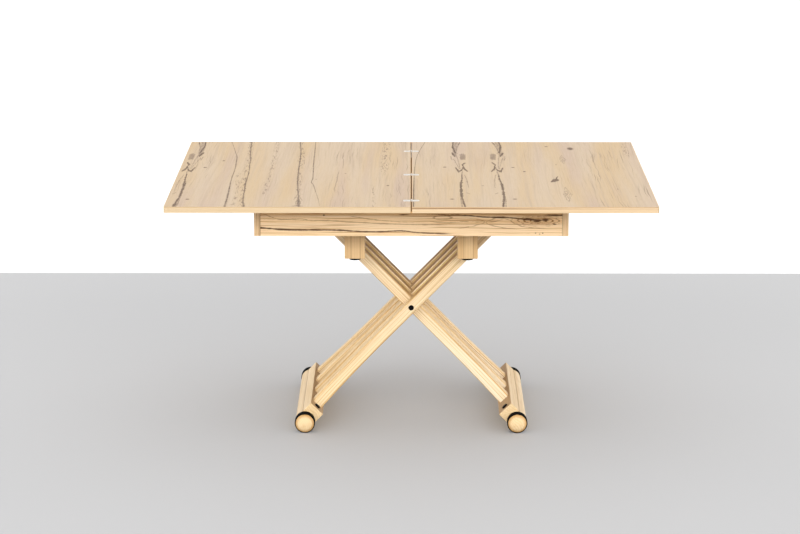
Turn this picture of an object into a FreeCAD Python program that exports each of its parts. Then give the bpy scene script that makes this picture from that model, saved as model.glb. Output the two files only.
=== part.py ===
import FreeCAD, Part
import math
import os
import re

V = FreeCAD.Vector
doc = FreeCAD.newDocument("ConvertibleTable")

# ---------------------------------------------------------------- dimensions
# All lengths in millimetres, angles in degrees. Origin on the floor under the
# middle of the opened top, +X to the right, -Y to the front, +Z up.
DIMS = {
    # top
    "top_len": 1440.0,      # opened length, left to right
    "top_dep": 1000.0,      # depth, front to back
    "top_thk": 18.0,        # board thickness
    "top_z": 760.0,         # height of the top surface
    "seam_half": 0.3,       # half of the gap between the leaves
    "groove_half": 1.8,     # half of the groove along the seam
    "groove_deep": 14.0,
    "groove_stop": 8.0,     # closed length at the back end of the groove
    "edge_thk": 2.0,        # edge band
    "edge_rad": 3.0,        # rounding of the outer corners
    # apron
    "apron_len": 936.0,
    "apron_dep": 660.0,
    "apron_z0": 634.0,
    "apron_z1": 740.0,
    "board_thk": 18.0,
    "rail_setback": 2.0,
    "pad_thk": 1.7,
    "pad_rad": 7.0,
    "corner_side": 30.0,
    "corner_high": 84.0,
    # guide boards and shoes
    "guide_y0": 146.0,      # inner face
    "guide_thk": 20.0,
    "guide_z0": 636.0,
    "guide_z1": 720.0,
    "slot_x0": 271.0,
    "slot_x1": 442.0,
    "slot_high": 24.0,
    "shoe_len": 36.0,
    "shoe_high": 23.4,
    "shoe_y0": 144.0,
    "shoe_y1": 166.5,
    # support blocks
    "block_x": 171.0,
    "block_wid": 62.0,
    "block_thk": 42.0,
    "block_z0": 535.0,
    "block_z1": 700.0,
    "glide_rad": 17.5,
    "glide_thk": 5.5,
    # swivel
    "swivel_x": 180.0,
    "swivel_y": -180.0,
    "swivel_board_x0": 70.0,
    "swivel_board_x1": 290.0,
    "swivel_plate_side": 120.0,
    "swivel_plate_thk": 1.7,
    "bolt_rad": 5.0,
    "bush_rad": 8.0,
    "run_clear": 0.05,      # radial running clearance of pins and axles
    # surface hinges of the top
    "hinge_axis_z": 760.5,
    "hinge_len": 24.0,      # reach of one plate from the seam
    "hinge_wid": 22.0,
    "hinge_thk": 2.0,
    "hinge_proud": 0.3,
    "knuckle_rad": 2.0,
    "pin_rad": 1.0,
    # legs
    "leg_ang": 45.7,        # angle of the bars to the floor
    "arm_low": 465.3,       # crossing axle to foot axis
    "arm_up": 419.2,        # crossing axle to top axle
    "bar_deep": 35.0,       # bar section in the plane of the cross
    "bar_thk": 36.0,        # bar section along Y
    "half_pitch": 40.0,     # layer spacing of the interleaved bars
    "foot_pitch": 55.0,     # layer spacing where the bars meet the foot rail
    "bend_start": 130.0,    # bend begins this far below the crossing axle
    "bar_end": 52.0,        # bar end to foot axis, along the leg
    "bar_trim": 20.0,       # length cut off square at the lower end
    "bar_over": 18.0,       # bar beyond the top axle
    "bar_round": 2.6,       # eased long edges: one wide and two fine facets
    "bar_ease": 0.9,
    "axle_rad": 6.0,
    "axle_half": 165.0,
    "spacer_rad": 10.0,
    "washer_rad": 13.0,
    "washer_thk": 3.7,
    "cap_rad": 8.2,
    "cap_thk": 3.2,
    # feet
    "foot_rad": 29.0,
    "ring_rad": 31.0,
    "ring_in": 28.0,
    "ring_y0": 236.0,
    "ring_y1": 263.0,
    "foot_end": 276.0,
    "foot_flat": 16.0,
    "foot_rail_half": 232.0,
    "foot_rail_wid": 52.0,
    "foot_bolt_y": 206.0,
    "foot_bolt_in": 176.0,  # back bolt of the three-bar frame, nearer to its bars
    "foot_bolt_rad": 4.0,
    "foot_cap_rad": 9.2,
    "foot_cap_thk": 4.0,
    "dowel_rad": 5.0,
}
sheet = doc.addObject("Spreadsheet::Sheet", "Dims")
for row, (alias, value) in enumerate(DIMS.items(), start=1):
    sheet.set("A%d" % row, alias)
    sheet.set("B%d" % row, repr(value))
    sheet.setAlias("B%d" % row, alias)
doc.recompute()


def ex(text):
    """Turn the bare alias names in a formula into references to the sheet."""
    return re.sub(r"[A-Za-z_]\w*",
                  lambda m: "Dims." + m.group(0) if m.group(0) in DIMS else m.group(0),
                  str(text))


def bind(obj, **props):
    for prop, formula in props.items():
        obj.setExpression(prop, ex(formula))


def move(obj, x="0", y="0", z="0", axis=None, angle=None):
    """Bind the placement of a piece; the turn is about one of the main axes."""
    if axis is not None:
        obj.Placement = FreeCAD.Placement(V(0, 0, 0), FreeCAD.Rotation(V(*axis), 30.0))
        obj.setExpression("Placement.Rotation.Angle", ex(angle))
    obj.setExpression("Placement.Base.x", ex(x))
    obj.setExpression("Placement.Base.y", ex(y))
    obj.setExpression("Placement.Base.z", ex(z))
    return obj


def box(name, lx, ly, lz, x, y, z, axis=None, angle=None):
    b = doc.addObject("Part::Box", name)
    bind(b, Length=lx, Width=ly, Height=lz)
    return move(b, x, y, z, axis, angle)


def cyl(name, rad, high, x, y, z, along="z"):
    c = doc.addObject("Part::Cylinder", name)
    bind(c, Radius=rad, Height=high)
    if along == "y":
        return move(c, x, y, z, (1, 0, 0), "-90")
    if along == "x":
        return move(c, x, y, z, (0, 1, 0), "90")
    return move(c, x, y, z)


def cone(name, r1, r2, high, x, y, z, along="z", angle=None):
    c = doc.addObject("Part::Cone", name)
    bind(c, Radius1=r1, Radius2=r2, Height=high)
    if along == "y":
        return move(c, x, y, z, (1, 0, 0), "-90")
    if along == "-y":
        return move(c, x, y, z, (1, 0, 0), "90")
    if along == "x":
        return move(c, x, y, z, (0, 1, 0), "90")
    if along == "-x":
        return move(c, x, y, z, (0, 1, 0), "-90")
    if along == "-z":
        return move(c, x, y, z, (1, 0, 0), "180")
    return move(c, x, y, z)


def fuse(name, parts):
    if len(parts) == 1:
        return parts[0]
    f = doc.addObject("Part::MultiFuse", name)
    f.Shapes = parts
    return f


def group(name, parts):
    g = doc.addObject("Part::Compound", name)
    g.Links = parts
    return g


def cut(name, base, tools):
    c = doc.addObject("Part::Cut", name)
    c.Base = base
    c.Tool = tools[0] if len(tools) == 1 else group(name + "_tools", tools)
    return c


def fillet(name, base, rad, pick):
    doc.recompute()
    f = doc.addObject("Part::Fillet", name)
    f.Base = base
    f.Edges = [(i, rad, rad) for i, e in enumerate(base.Shape.Edges, start=1) if pick(e)]
    doc.recompute()
    return f


def mid(edge):
    return edge.BoundBox.Center


def is_circle(edge):
    return isinstance(edge.Curve, Part.Circle)


nodes = {}


def node(name, obj):
    obj.Label = name
    nodes[name] = obj
    return obj


# ------------------------------------------------------------------- the top
# Two leaves meet on the seam at x = 0. Each leaf is a laminated board with an
# edge band all round; three flush hinges join the leaves on the upper face.
HINGE_Y = (340.0, -35.0, -412.0)
under = "(top_z - top_thk)"
seam_tools = {}
for side, sx in (("right", 1), ("left", -1)):
    lead = "" if sx > 0 else "-"
    plates, tools, screws = [], [], []
    for i, hy in enumerate(HINGE_Y, start=1):
        tag = "%s_%d" % (side, i)
        # plate, standing clear of the other leaf's knuckles
        x0 = "3.2" if sx > 0 else "-hinge_len"
        plate = box("plate_" + tag, "hinge_len - 3.2", "hinge_wid", "hinge_thk",
                    x0, "%r - hinge_wid/2" % hy, "top_z + hinge_proud - hinge_thk")
        plate = fillet("plate_round_" + tag, plate, 7.0,
                       lambda e, s=sx: abs(e.tangentAt(e.FirstParameter).z) > 0.9 and abs(mid(e).x) > 10)
        pieces = [plate]
        spans = ((-11.0, 5.25), (5.75, 5.25)) if sx > 0 else ((-5.25, 10.5),)
        for j, (off, length) in enumerate(spans, start=1):
            web_x = "0" if sx > 0 else "-3.4"
            pieces.append(box("web_%s_%d" % (tag, j), "3.4", repr(length), "hinge_thk",
                              web_x, repr(hy + off), "top_z + hinge_proud - hinge_thk"))
            pieces.append(cyl("knuckle_%s_%d" % (tag, j), "knuckle_rad", repr(length),
                              "0", repr(hy + off), "hinge_axis_z", "y"))
        blank = fuse("hinge_blank_" + tag, pieces)
        bore = cyl("hinge_bore_" + tag, "pin_rad" if sx > 0 else "pin_rad + run_clear", "hinge_wid + 2",
                   "0", "%r - hinge_wid/2 - 1" % hy, "hinge_axis_z", "y")
        # two countersunk screws per plate, with a cross recess in each head
        own = []
        for j, dx in enumerate((10.0, 18.5), start=1):
            hx = repr(sx * dx)
            ht = "%s_%d" % (tag, j)
            head = cone("hscrew_head_" + ht, "3.4", "1.5", "1.9", hx, repr(hy), "top_z + hinge_proud", "-z")
            shank = cyl("hscrew_shank_" + ht, "1.5", "12", hx, repr(hy), "top_z + hinge_proud - 12")
            body = fuse("hscrew_body_" + ht, [head, shank])
            own.append(body)
            r1 = box("hscrew_rec1_" + ht, "3.6", "0.7", "0.9", "%s - 1.8" % hx, "%r - 0.35" % hy,
                     "top_z + hinge_proud - 0.8")
            r2 = box("hscrew_rec2_" + ht, "0.7", "3.6", "0.9", "%s - 0.35" % hx, "%r - 1.8" % hy,
                     "top_z + hinge_proud - 0.8")
            screws.append(cut("hscrew_" + ht, body, [fuse("hscrew_rec_" + ht, [r1, r2])]))
        plates.append(cut("hinge_" + tag, blank, [fuse("hinge_holes_" + tag, [bore] + own)]))
        # mortises: plate outline, knuckle room, screws
        tools.append(fuse("mortise_" + tag, [
            plate,
            box("room_" + tag, "3.4", "hinge_wid + 1", "4",
                "0" if sx > 0 else "-3.4", "%r - hinge_wid/2 - 0.5" % hy, "hinge_axis_z - 3.3"),
        ] + own))
    node("hinge_plates_" + side, group("hinge_plates_" + side, plates))
    node("hinge_screws_" + side, group("hinge_screws_" + side, screws))
    seam_tools[side] = tools

    outer = box("leaf_blank_" + side, "top_len/2 - seam_half", "top_dep", "top_thk",
                "seam_half" if sx > 0 else "-top_len/2", "-top_dep/2", under)
    outer = fillet("leaf_round_" + side, outer, DIMS["edge_rad"],
                   lambda e: abs(e.tangentAt(e.FirstParameter).z) > 0.9 and abs(mid(e).x) > 300)
    core_args = ("top_len/2 - groove_half - 2*edge_thk", "top_dep - 2*edge_thk", "top_thk",
                 "groove_half + edge_thk" if sx > 0 else "-top_len/2 + edge_thk",
                 "-top_dep/2 + edge_thk", under)
    core_hole = box("leaf_hole_" + side, *core_args)
    core = box("leaf_core_" + side, *core_args)
    panel_tools = list(tools)
    if side == "right":
        # holes for the four screws of the swivel plate
        swivel_screws = []
        for j, (dx, dy) in enumerate(((48, 48), (-48, 48), (-48, -48), (48, -48)), start=1):
            head = cone("sp_head_%d" % j, "3.5", "1.75", "1.7", "swivel_x + %d" % dx, "swivel_y + %d" % dy,
                        "%s - swivel_plate_thk" % under)
            shank = cyl("sp_shank_%d" % j, "1.75", "13.5", "swivel_x + %d" % dx, "swivel_y + %d" % dy,
                        "%s - swivel_plate_thk" % under)
            swivel_screws.append(fuse("sp_screw_%d" % j, [head, shank]))
        panel_tools += swivel_screws
    node(side + "_leaf_panel", cut(side + "_leaf_panel", core, panel_tools))
    band = cut("leaf_band_" + side, outer, [core_hole])
    # the two bands are rebated along the seam, which leaves a groove that is
    # open at the front and closed at the back, with a narrow lip under it
    groove = box("groove_" + side, "groove_half", "top_dep + 1 - groove_stop", "groove_deep + 1",
                 "0" if sx > 0 else "-groove_half", "-top_dep/2 - 1", "top_z - groove_deep")
    band = cut("leaf_rebate_" + side, band, [groove])
    node(side + "_leaf_edging", cut(side + "_leaf_edging", band, tools))

node("hinge_pins", group("hinge_pins", [
    cyl("hinge_pin_%d" % i, "pin_rad", "hinge_wid", "0", "%r - hinge_wid/2" % hy, "hinge_axis_z", "y")
    for i, hy in enumerate(HINGE_Y, start=1)]))

# ---------------------------------------------------------------- the swivel
# A steel plate under the right leaf carries a stud that turns in a bushing of
# the swivel board, so the top makes a quarter turn about (180, -180).
plate = box("swivel_plate_blank", "swivel_plate_side", "swivel_plate_side", "swivel_plate_thk",
            "swivel_x - swivel_plate_side/2", "swivel_y - swivel_plate_side/2", "%s - swivel_plate_thk" % under)
plate = fillet("swivel_plate_round", plate, 12.0, lambda e: abs(e.tangentAt(e.FirstParameter).z) > 0.9)
stud = cyl("swivel_stud", "bolt_rad", "33", "swivel_x", "swivel_y", "%s - 33" % under)
node("swivel_plate", cut("swivel_plate", plate, [stud] + swivel_screws))
node("swivel_plate_screws", group("swivel_plate_screws", swivel_screws))
node("swivel_bolt", cyl("swivel_bolt", "bolt_rad", "33", "swivel_x", "swivel_y", "%s - 33" % under))
nut = doc.addObject("Part::Prism", "nut_hex")
nut.Polygon = 6
bind(nut, Circumradius="9.8", Height="8")
move(nut, "swivel_x", "swivel_y", "apron_z1 - board_thk - 10.3")
nut_bore = cyl("nut_bore", "bolt_rad", "20", "swivel_x", "swivel_y", "apron_z1 - board_thk - 15")
washer = cyl("nut_washer", "12", "2", "swivel_x", "swivel_y", "apron_z1 - board_thk - 2.3")
node("swivel_nut", cut("swivel_nut", fuse("nut_and_washer", [nut, washer]), [nut_bore]))

board = box("swivel_board_blank", "swivel_board_x1 - swivel_board_x0",
            "apron_dep - 2*rail_setback - 2*board_thk", "board_thk",
            "swivel_board_x0", "-(apron_dep/2 - rail_setback - board_thk)", "apron_z1 - board_thk")
bush_hole = cyl("bush_hole", "bush_rad", "board_thk", "swivel_x", "swivel_y", "apron_z1 - board_thk")
node("swivel_board", cut("swivel_board", board, [bush_hole]))
bush = cyl("bush_blank", "bush_rad", "board_thk", "swivel_x", "swivel_y", "apron_z1 - board_thk")
bush_bore = cyl("bush_bore", "bolt_rad + run_clear", "board_thk", "swivel_x", "swivel_y", "apron_z1 - board_thk")
node("swivel_bushing", cut("swivel_bushing", bush, [bush_bore]))

# ----------------------------------------------------------------- the apron
# End boards run the full depth, so their front edges show; the rails stand
# between them, a little set back.
high = "apron_z1 - apron_z0"
inner_x = "(apron_len/2 - board_thk)"
rail_y = "(apron_dep/2 - rail_setback)"


def apron_screw(tag, x, y, z, along, length):
    """Flat-headed screw: a short cone under the head face and a straight shank."""
    back = {"x": "x", "-x": "-x", "y": "y", "-y": "-y"}[along]
    head = cone("as_head_" + tag, "4.5", "2.5", "3", x, y, z, back)
    if along == "x":
        shank = cyl("as_shank_" + tag, "2.5", repr(length), x, y, z, "x")
    elif along == "-x":
        shank = cyl("as_shank_" + tag, "2.5", repr(length), "%s - %r" % (x, length), y, z, "x")
    elif along == "y":
        shank = cyl("as_shank_" + tag, "2.5", repr(length), x, y, z, "y")
    else:
        shank = cyl("as_shank_" + tag, "2.5", repr(length), x, "%s - %r" % (y, length), z, "y")
    return fuse("as_" + tag, [head, shank])


screws_at = {"left_end": [], "right_end": [], "front_rail": [], "back_rail": [],
             "front_guide": [], "back_guide": []}
blocks_at = {}
all_screws = []
for end, sx in (("left", -1), ("right", 1)):
    way = "x" if sx < 0 else "-x"
    face = "%s(apron_len/2)" % ("-" if sx < 0 else "")
    for fb, sy in (("front", -1), ("back", 1)):
        sgn = "-" if sy < 0 else ""
        for j, z in enumerate(("662", "712"), start=1):
            s = apron_screw("%s_%s_r%d" % (end, fb, j), face, "%s(%s - board_thk/2)" % (sgn, rail_y), z, way, 50.0)
            screws_at[end + "_end"].append(s)
            screws_at[fb + "_rail"].append(s)
            all_screws.append(s)
        for j, z in enumerate(("644", "700"), start=1):
            s = apron_screw("%s_%s_g%d" % (end, fb, j), face, "%s(guide_y0 + guide_thk/2)" % sgn, z, way, 50.0)
            screws_at[end + "_end"].append(s)
            screws_at[fb + "_guide"].append(s)
            all_screws.append(s)
        # two screws from inside the guide board into each support block
        for j, (dx, z) in enumerate((("- 15", "655"), ("+ 15", "688")), start=1):
            s = apron_screw("%s_%s_b%d" % (end, fb, j), "%d*block_x %s" % (sx, dx), "%sguide_y0" % sgn, z,
                            "-y" if sy < 0 else "y", 46.0)
            screws_at[fb + "_guide"].append(s)
            blocks_at.setdefault((fb, end), []).append(s)
            all_screws.append(s)

for end, sx in (("left", -1), ("right", 1)):
    b = box(end + "_end_blank", "board_thk", "apron_dep", high,
            "-apron_len/2" if sx < 0 else inner_x, "-apron_dep/2", "apron_z0")
    node(end + "_end_board", cut(end + "_end_board", b, screws_at[end + "_end"]))
for fb, sy in (("front", -1), ("back", 1)):
    b = box(fb + "_rail_blank", "apron_len - 2*board_thk", "board_thk", high,
            "-" + inner_x, "-" + rail_y if sy < 0 else rail_y + " - board_thk", "apron_z0")
    node(fb + "_rail", cut(fb + "_rail", b, screws_at[fb + "_rail"]))
    g = box(fb + "_guide_blank", "apron_len - 2*board_thk", "guide_thk", "guide_z1 - guide_z0",
            "-" + inner_x, "-guide_y0 - guide_thk" if sy < 0 else "guide_y0", "guide_z0")
    slots = []
    for end, sx in (("left", -1), ("right", 1)):
        slots.append(box("%s_%s_slot" % (fb, end), "slot_x1 - slot_x0", "guide_thk + 4", "slot_high",
                         "-slot_x1" if sx < 0 else "slot_x0",
                         "-guide_y0 - guide_thk - 2" if sy < 0 else "guide_y0 - 2",
                         "ring_rad + (arm_low + arm_up)*sin(leg_ang) - slot_high/2"))
    node(fb + "_guide_board", cut(fb + "_guide_board", g, slots + screws_at[fb + "_guide"]))
    for end, sx in (("left", -1), ("right", 1)):
        b = box("%s_%s_block_blank" % (fb, end), "block_wid", "block_thk", "block_z1 - block_z0",
                "%d*block_x - block_wid/2" % sx,
                "-guide_y0 - guide_thk - block_thk" if sy < 0 else "guide_y0 + guide_thk", "block_z0")
        b = fillet("%s_%s_block_round" % (fb, end), b, 2.5,
                   lambda e, s=sy: abs(mid(e).y) > 205 or abs(mid(e).z - DIMS["block_z0"]) < 0.1)
        node("%s_%s_support_block" % (fb, end),
             cut("%s_%s_support_block" % (fb, end), b, blocks_at[(fb, end)]))
glides = []
for fb, sy in (("front", -1), ("back", 1)):
    for end, sx in (("left", -1), ("right", 1)):
        g = cyl("glide_%s_%s" % (fb, end), "glide_rad", "glide_thk", "%d*block_x" % sx,
                "%d*(guide_y0 + guide_thk + block_thk/2)" % sy, "block_z0 - glide_thk")
        glides.append(fillet("glide_round_%s_%s" % (fb, end), g, 1.0,
                             lambda e: is_circle(e) and mid(e).z < DIMS["block_z0"] - 1))
node("glide_pads", group("glide_pads", glides))

corners = []
for fb, sy in (("front", -1), ("back", 1)):
    for end, sx in (("left", -1), ("right", 1)):
        corners.append(box("corner_%s_%s" % (fb, end), "corner_side", "corner_side", "corner_high",
                           ("-%s" % inner_x) if sx < 0 else "%s - corner_side" % inner_x,
                           ("-(%s - board_thk)" % rail_y) if sy < 0 else "%s - board_thk - corner_side" % rail_y,
                           "apron_z0 + 12"))
# the rail screws end in the rails and pass in front of the corner blocks
node("corner_blocks", group("corner_blocks", corners))
node("apron_screws", group("apron_screws", all_screws))

pads = []
for j, (x, y) in enumerate((("-300", "-1"), ("0", "-1"), ("300", "-1"), ("-300", "1"), ("0", "1"), ("300", "1")), start=1):
    pads.append(cyl("pad_rail_%d" % j, "pad_rad", "pad_thk", x, "%s*(%s - board_thk/2)" % (y, rail_y), "apron_z1"))
for j, (x, y) in enumerate((("-1", "-200"), ("-1", "200"), ("1", "-200"), ("1", "200")), start=1):
    pads.append(cyl("pad_end_%d" % j, "pad_rad", "pad_thk", "%s*(apron_len/2 - board_thk/2)" % x, y, "apron_z1"))
node("slide_pads", group("slide_pads", pads))

# ------------------------------------------------------------------ the legs
# Seven interleaved bars: four in the frame that rises to the right, three in
# the frame that rises to the left. Every bar is straight and parallel from
# its top to a little below the crossing, then bends outwards along Y on an
# arc, so that the bars stand wider apart on the foot rail.
foot_x = "(arm_low*cos(leg_ang))"
pivot_z = "(ring_rad + arm_low*sin(leg_ang))"
axle_x = "(arm_up*cos(leg_ang))"
axle_z = "(ring_rad + (arm_low + arm_up)*sin(leg_ang))"
FRAME = {
    # sign of the rise along X, turn of the local frame about Y
    "a": (1, "-leg_ang"),
    "b": (-1, "leg_ang - 180"),
}


def leg_xyz(frame, along, across):
    """World position of a point given along the leg from the foot axis and
    across it in the plane of the cross (local X and Z of the frame)."""
    s, _ = FRAME[frame]
    x0 = "%d*%s" % (-s, foot_x)
    if s > 0:
        return ("%s + (%s)*cos(leg_ang) - (%s)*sin(leg_ang)" % (x0, along, across),
                "ring_rad + (%s)*sin(leg_ang) + (%s)*cos(leg_ang)" % (along, across))
    return ("%s - (%s)*cos(leg_ang) - (%s)*sin(leg_ang)" % (x0, along, across),
            "ring_rad + (%s)*sin(leg_ang) - (%s)*cos(leg_ang)" % (along, across))


def leg_box(name, frame, la, ly, lw, along, y, across):
    x, z = leg_xyz(frame, along, across)
    return box(name, la, ly, lw, x, y, z, (0, 1, 0), FRAME[frame][1])


def leg_cyl(name, frame, rad, length, along, y, across="0"):
    """Cylinder whose axis runs along the leg, starting at 'along'."""
    c = doc.addObject("Part::Cylinder", name)
    bind(c, Radius=rad, Height=length)
    x, z = leg_xyz(frame, along, across)
    s, _ = FRAME[frame]
    return move(c, x, y, z, (0, 1, 0), "90 - leg_ang" if s > 0 else "leg_ang - 90")


def bar(name, frame, k):
    """One bar as a padded plan outline, longer at the foot by the trim that is
    cut off square later. k counts the layer from the middle."""
    body = doc.addObject("PartDesign::Body", name + "_body")
    plane = [f for f in body.Origin.OriginFeatures if f.Role == "XY_Plane"][0]
    sk = body.newObject("Sketcher::SketchObject", name + "_outline")
    sk.AttachmentSupport = (plane, [""])
    sk.MapMode = "FlatFace"
    sk.setExpression("AttachmentOffset.Base.z", ex("-bar_deep/2"))
    t = DIMS["bar_thk"] / 2
    y0 = k * DIMS["half_pitch"]
    ut = DIMS["arm_up"] + DIMS["bar_over"]
    ue = -(DIMS["arm_low"] - DIMS["bar_end"])
    ul = ue - DIMS["bar_trim"]
    line = lambda a, b: sk.addGeometry(Part.LineSegment(V(a[0], a[1], 0), V(b[0], b[1], 0)), False)
    con = []

    def add(*args, formula=None):
        import Sketcher
        idx = sk.addConstraint(Sketcher.Constraint(*args))
        if formula is not None:
            con.append((idx, formula))
        return idx

    if k == 0:
        l1 = line((ut, y0 - t), (ul, y0 - t))
        l2 = line((ul, y0 - t), (ul, y0 + t))
        l3 = line((ul, y0 + t), (ut, y0 + t))
        l4 = line((ut, y0 + t), (ut, y0 - t))
        for a, b in ((l1, l2), (l2, l3), (l3, l4), (l4, l1)):
            add("Coincident", a, 2, b, 1)
        add("Horizontal", l1)
        add("Vertical", l2)
        add("Horizontal", l3)
        add("Vertical", l4)
        add("DistanceY", -1, 1, l3, 1, t, formula="bar_thk/2")
        add("DistanceY", l1, 2, -1, 1, t, formula="bar_thk/2")
        add("DistanceX", -1, 1, l1, 1, ut, formula="arm_up + bar_over")
        add("DistanceX", l1, 2, -1, 1, -ul, formula="arm_low - bar_end + bar_trim")
    else:
        sg = 1 if k > 0 else -1
        ub = -DIMS["bend_start"]
        run, span = ub - ue, ub - ul
        off = abs(k) * (DIMS["foot_pitch"] - DIMS["half_pitch"])
        rad = (run * run + off * off) / (2 * off)
        cy = y0 + sg * rad
        rin, rout = rad - t, rad + t          # arcs on the hollow and the full side
        d_in = math.asin(span / rin)
        d_out = math.asin(span / rout)
        up = -sg                               # from the centre towards the bar
        yin = cy + up * math.sqrt(rin * rin - span * span)
        yout = cy + up * math.sqrt(rout * rout - span * span)
        yi0, yo0 = y0 + sg * t, y0 - sg * t    # hollow side and full side of the straight part
        l1 = line((ut, yo0), (ub, yo0))
        base = math.pi * 1.5 if sg > 0 else math.pi * 0.5
        circ = lambda r: Part.Circle(V(ub, cy, 0), V(0, 0, 1), r)
        if sg > 0:
            a1 = sk.addGeometry(Part.ArcOfCircle(circ(rout), base - d_out, base), False)
            a1s, a1e = 2, 1                    # joins the straight part at its end point
            a2 = sk.addGeometry(Part.ArcOfCircle(circ(rin), base - d_in, base), False)
            a2s, a2e = 2, 1
        else:
            a1 = sk.addGeometry(Part.ArcOfCircle(circ(rout), base, base + d_out), False)
            a1s, a1e = 1, 2
            a2 = sk.addGeometry(Part.ArcOfCircle(circ(rin), base, base + d_in), False)
            a2s, a2e = 1, 2
        l2 = line((ul, yout), (ul, yin))
        l3 = line((ub, yi0), (ut, yi0))
        l4 = line((ut, yi0), (ut, yo0))
        add("Tangent", l1, 2, a1, a1s)
        add("Coincident", a1, a1e, l2, 1)
        add("Coincident", l2, 2, a2, a2e)
        add("Tangent", a2, a2s, l3, 1)
        add("Coincident", l3, 2, l4, 1)
        add("Coincident", l4, 2, l1, 1)
        add("Horizontal", l1)
        add("Horizontal", l3)
        add("Vertical", l2)
        add("Vertical", l4)
        add("Coincident", a1, 3, a2, 3)
        off_f = "(%d*(foot_pitch - half_pitch))" % abs(k)
        run_f = "(arm_low - bar_end - bend_start)"
        add("Radius", a1, rout, formula="(%s^2 + %s^2)/(2*%s) + bar_thk/2" % (run_f, off_f, off_f))
        add("DistanceX", l1, 2, -1, 1, -ub, formula="bend_start")
        add("DistanceX", l2, 1, -1, 1, -ul, formula="arm_low - bar_end + bar_trim")
        add("DistanceX", -1, 1, l1, 1, ut, formula="arm_up + bar_over")
        # the two long sides, measured from the middle plane of the table
        for geo, pos, m in ((l1, 1, abs(k) * DIMS["half_pitch"] - t), (l3, 2, abs(k) * DIMS["half_pitch"] + t)):
            f = "%d*half_pitch %s bar_thk/2" % (abs(k), "-" if m < abs(k) * DIMS["half_pitch"] else "+")
            if sg > 0:
                add("DistanceY", -1, 1, geo, pos, m, formula=f)
            else:
                add("DistanceY", geo, pos, -1, 1, m, formula=f)
    for idx, f in con:
        sk.setExpression("Constraints[%d]" % idx, ex(f))
    pad = body.newObject("PartDesign::Pad", name + "_pad")
    pad.Profile = sk
    pad.setExpression("Length", ex("bar_deep"))
    doc.recompute()
    s, turn = FRAME[frame]
    # softened long edges and a rounded upper end
    long_edges, end_edges = [], []
    for i, e in enumerate(pad.Shape.Edges, start=1):
        b = e.BoundBox
        lz = abs(abs(b.Center.z) - DIMS["bar_deep"] / 2) < 0.01
        if lz and b.XLength > 100:
            long_edges.append("Edge%d" % i)
        if lz and b.YLength > 10 and abs(b.Center.x - ut) < 0.01:
            end_edges.append("Edge%d" % i)
    f1 = body.newObject("PartDesign::Fillet", name + "_end_round")
    f1.Base = (pad, end_edges)
    f1.Radius = 14.0
    doc.recompute()
    long_edges = []
    for i, e in enumerate(f1.Shape.Edges, start=1):
        b = e.BoundBox
        if abs(abs(b.Center.z) - DIMS["bar_deep"] / 2) < 0.01 and b.XLength > 100:
            long_edges.append("Edge%d" % i)
    f2 = body.newObject("PartDesign::Chamfer", name + "_long_ease")
    f2.Base = (f1, long_edges)
    f2.setExpression("Size", ex("bar_round"))
    doc.recompute()
    long_edges = []
    for i, e in enumerate(f2.Shape.Edges, start=1):
        b = e.BoundBox
        h = DIMS["bar_deep"] / 2 - abs(b.Center.z)
        if b.XLength > 100 and b.ZLength < 0.01 and min(abs(h), abs(h - DIMS["bar_round"])) < 0.01:
            long_edges.append("Edge%d" % i)
    f3 = body.newObject("PartDesign::Chamfer", name + "_long_ease_fine")
    f3.Base = (f2, long_edges)
    f3.setExpression("Size", ex("bar_ease"))
    body.Tip = f3
    move(body, "0", "0", pivot_z, (0, 1, 0), turn)
    doc.recompute()
    return body


def bar_node(name, frame, k, loose):
    """Bar with its bores, for the crossing axle, the top axle and the dowel of
    the foot, and its square lower end."""
    s, _ = FRAME[frame]
    y = "%d*half_pitch - bar_thk" % k
    bores = [
        cyl(name + "_pivot_bore", "axle_rad + run_clear" if loose else "axle_rad", "2*bar_thk", "0", y, pivot_z, "y"),
        cyl(name + "_axle_bore", "axle_rad", "2*bar_thk", "%d*%s" % (s, axle_x), y, axle_z, "y"),
        leg_cyl(name + "_dowel_bore", frame, "dowel_rad", "26", "bar_end - 1", "%d*foot_pitch - %d" % (k, k)),
        leg_box(name + "_trim", frame, "2*bar_trim", "4*bar_thk", "80", "bar_end - 2*bar_trim",
                "%d*foot_pitch - 2*bar_thk" % k, "-40"),
    ]
    return node(name, cut(name, bar(name, frame, k), bores))


A_LAYERS = (-3, -1, 1, 3)
B_LAYERS = (-2, 0, 2)
for i, k in enumerate(A_LAYERS, start=1):
    bar_node("cross_bar_a%d" % i, "a", k, False)
for i, k in enumerate(B_LAYERS, start=1):
    bar_node("cross_bar_b%d" % i, "b", k, True)

# axles: the crossing axle is held in the outer frame and turns in the inner one
node("centre_axle", cyl("centre_axle", "axle_rad", "6*half_pitch + bar_thk", "0", "-(3*half_pitch + bar_thk/2)",
                        pivot_z, "y"))
caps = []
for fb, sy in (("front", -1), ("back", 1)):
    c = cyl("cap_" + fb, "cap_rad", "cap_thk", "0",
            "-(3*half_pitch + bar_thk/2) - cap_thk" if sy < 0 else "3*half_pitch + bar_thk/2", pivot_z, "y")
    caps.append(fillet("cap_dome_" + fb, c, 2.2, lambda e: is_circle(e) and abs(mid(e).y) > 139))
node("centre_caps", group("centre_caps", caps))
washers = []
for i, k in enumerate(A_LAYERS):
    for way in (-1, 1):
        if abs(k + way) > 2:
            continue
        y = ("%d*half_pitch + bar_thk/2" % k) if way > 0 else ("%d*half_pitch - bar_thk/2 - washer_thk" % k)
        w = cyl("cw_%d_%d" % (i, way + 1), "washer_rad", "washer_thk", "0", y, pivot_z, "y")
        h = cyl("cwh_%d_%d" % (i, way + 1), "axle_rad", "washer_thk", "0", y, pivot_z, "y")
        washers.append(cut("cwc_%d_%d" % (i, way + 1), w, [h]))
node("centre_washers", group("centre_washers", washers))

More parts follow.
